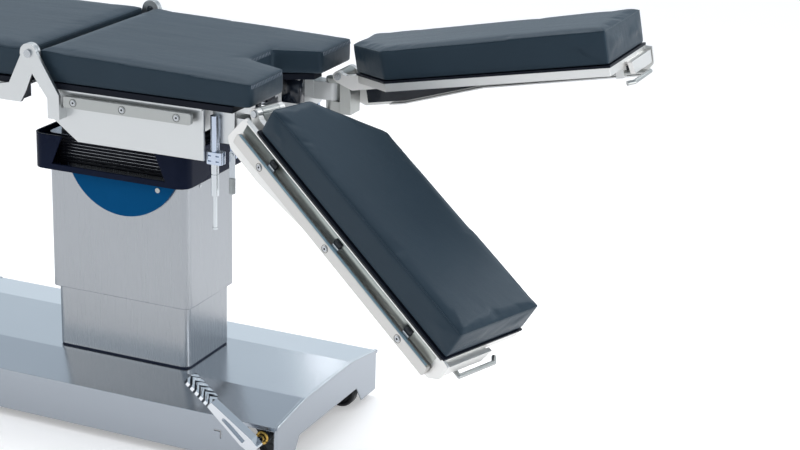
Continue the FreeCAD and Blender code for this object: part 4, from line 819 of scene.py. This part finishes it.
def seams(made):
    seat = made["seat"]
    for word, side in SIDES.items():
        wide, inner = side * SEAT_HALF_W, side * CUTOUT_HALF_W
        head, corner = seat_top(SEAT_HEAD_X, wide), seat_top(SEAT_FOOT_X, wide)
        tip, root = seat_top(SEAT_FOOT_X, inner), seat_top(CUTOUT_X, side * CUTOUT_ROOT_HALF_W)
        seam("seat_side_" + word, seat, [head, corner], "seat")
        seam("seat_lobe_" + word, seat, [corner, tip], "seat", TO_FOOT)
        seam("seat_inner_" + word, seat, [tip, root], "seat")
    root = [seat_top(CUTOUT_X, side * CUTOUT_ROOT_HALF_W) for side in SIDES.values()]
    seam("seat_root", seat, root, "seat", TO_FOOT)
    outline = ((LEG_START, LEG_HINGE_INNER), (LEG_START, LEG_OUTER), (LEG_END, LEG_OUTER),
               (LEG_END, LEG_INNER), (LEG_TAPER_A, LEG_INNER), (LEG_START, LEG_HINGE_INNER))
    for name in SIDES:
        seam("leg_rim_" + name, made[name], [leg_top(name, a, b) for a, b in outline], "leg_" + name)
    for word, node in (("back", "back_pad"), ("head", "head_pad")):
        low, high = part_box(node)
        (x0, y0), (x1, y1, top) = low[:2], high
        rim = [Vector((x, y, top)) for x, y in ((x0, y0), (x1, y0), (x1, y1), (x0, y1), (x0, y0))]
        seam(word + "_rim", made[word], rim, word)


# Camera, floor and light

def camera():
    data = bpy.data.cameras.new("camera")
    data.lens = CAMERA_LENS
    data.sensor_width = 36.0
    data.shift_x = CAMERA_SHIFT
    data.clip_end = CAMERA_REACH
    obj = bpy.data.objects.new("camera", data)
    obj.location = COLUMN + CAMERA_PLACE
    obj.rotation_euler = (math.radians(90.0 - CAMERA_ELEVATION), 0.0, math.radians(CAMERA_AZIMUTH))
    bpy.context.scene.collection.objects.link(obj)
    bpy.context.scene.camera = obj
    bpy.context.scene.view_settings.view_transform = "Standard"


def seen_or_mirrored(tree):
    """1 for what the camera sees straight, in a mirror or through glass, and 0 for light on the object."""
    light = tree.nodes.new("ShaderNodeLightPath")
    total = light.outputs["Is Camera Ray"]
    for name in ("Is Glossy Ray", "Is Transmission Ray"):
        either = tree.nodes.new("ShaderNodeMath")
        either.operation = "MAXIMUM"
        tree.links.new(total, either.inputs[0])
        tree.links.new(light.outputs[name], either.inputs[1])
        total = either.outputs["Value"]
    return total


def floor_material():
    """Pale floor that shows as white to the camera and keeps the object's shadow."""
    material, tree, shader = new_material("floor")
    tint = noise_node(tree, mapped(tree), 3.0, 2.0)
    tree.links.new(mix_colour(tree, tint, FLOOR_DARKER, FLOOR_LIGHTER), shader.inputs["Base Color"])
    shader.inputs["Roughness"].default_value = 0.55
    shader.inputs["Specular IOR Level"].default_value = 0.2
    glow = tree.nodes.new("ShaderNodeEmission")
    glow.inputs["Color"].default_value = (1.0, 1.0, 1.0, 1.0)
    strength = math_node(tree, "MULTIPLY", seen_or_mirrored(tree), FLOOR_LIFT)
    tree.links.new(strength, glow.inputs["Strength"])
    both = tree.nodes.new("ShaderNodeAddShader")
    output = next(node for node in tree.nodes if node.type == "OUTPUT_MATERIAL")
    tree.links.new(shader.outputs["BSDF"], both.inputs[0])
    tree.links.new(glow.outputs["Emission"], both.inputs[1])
    tree.links.new(both.outputs["Shader"], output.inputs["Surface"])
    return material


def floor():
    mesh = bpy.data.meshes.new("floor")
    half = FLOOR_HALF
    corners = [(-half, -half, 0.0), (half, -half, 0.0), (half, half, 0.0), (-half, half, 0.0)]
    mesh.from_pydata(corners, [], [(0, 1, 2, 3)])
    mesh.materials.append(floor_material())
    obj = bpy.data.objects.new("floor", mesh)
    bpy.context.scene.collection.objects.link(obj)


def world():
    """White room to the camera; metal mirrors a sky that darkens upwards; plain light from above."""
    new = bpy.data.worlds.new("studio")
    bpy.context.scene.world = new
    new.use_nodes = True
    tree = new.node_tree
    tree.nodes.clear()
    output = tree.nodes.new("ShaderNodeOutputWorld")
    coordinates = tree.nodes.new("ShaderNodeTexCoord")
    split = tree.nodes.new("ShaderNodeSeparateXYZ")
    tree.links.new(coordinates.outputs["Generated"], split.inputs["Vector"])
    rise = ramp(tree, split.outputs["Z"], 0.0, 1.0, *SKY_RISE)
    sky = tree.nodes.new("ShaderNodeBackground")
    tree.links.new(mix_colour(tree, rise, SKY_LOW, SKY_HIGH), sky.inputs["Color"])
    mirror = tree.nodes.new("ShaderNodeBackground")
    fade = ramp(tree, split.outputs["Z"], 1.0, 0.0, *MIRROR_FADE)
    tree.links.new(mix_colour(tree, fade, MIRROR_HIGH, MIRROR_LOW), mirror.inputs["Color"])
    plain = tree.nodes.new("ShaderNodeBackground")
    plain.inputs["Color"].default_value = (1.0, 1.0, 1.0, 1.0)
    light = tree.nodes.new("ShaderNodeLightPath")
    first = tree.nodes.new("ShaderNodeMixShader")
    tree.links.new(seen_or_mirrored(tree), first.inputs["Fac"])
    tree.links.new(sky.outputs["Background"], first.inputs[1])
    tree.links.new(mirror.outputs["Background"], first.inputs[2])
    second = tree.nodes.new("ShaderNodeMixShader")
    tree.links.new(light.outputs["Is Camera Ray"], second.inputs["Fac"])
    tree.links.new(first.outputs["Shader"], second.inputs[1])
    tree.links.new(plain.outputs["Background"], second.inputs[2])
    tree.links.new(second.outputs["Shader"], output.inputs["Surface"])


def softbox(name, place, aim, width, height, power, colour):
    data = bpy.data.lights.new(name, "AREA")
    data.shape = "RECTANGLE"
    data.size = width
    data.size_y = height
    data.energy = power
    data.color = colour
    obj = bpy.data.objects.new(name, data)
    obj.location = COLUMN + Vector(place)
    direction = COLUMN + Vector(aim) - obj.location
    obj.rotation_euler = direction.to_track_quat("-Z", "Y").to_euler()
    bpy.context.scene.collection.objects.link(obj)


dress_frame()
camera()
floor()
world()
for name, row in SOFTBOXES.items():
    softbox(name, *row)
rail_details()
leg_liners()
column_sleeve()
base_highlight_beads()
bracket_covers()
column_details()
seams(pads())
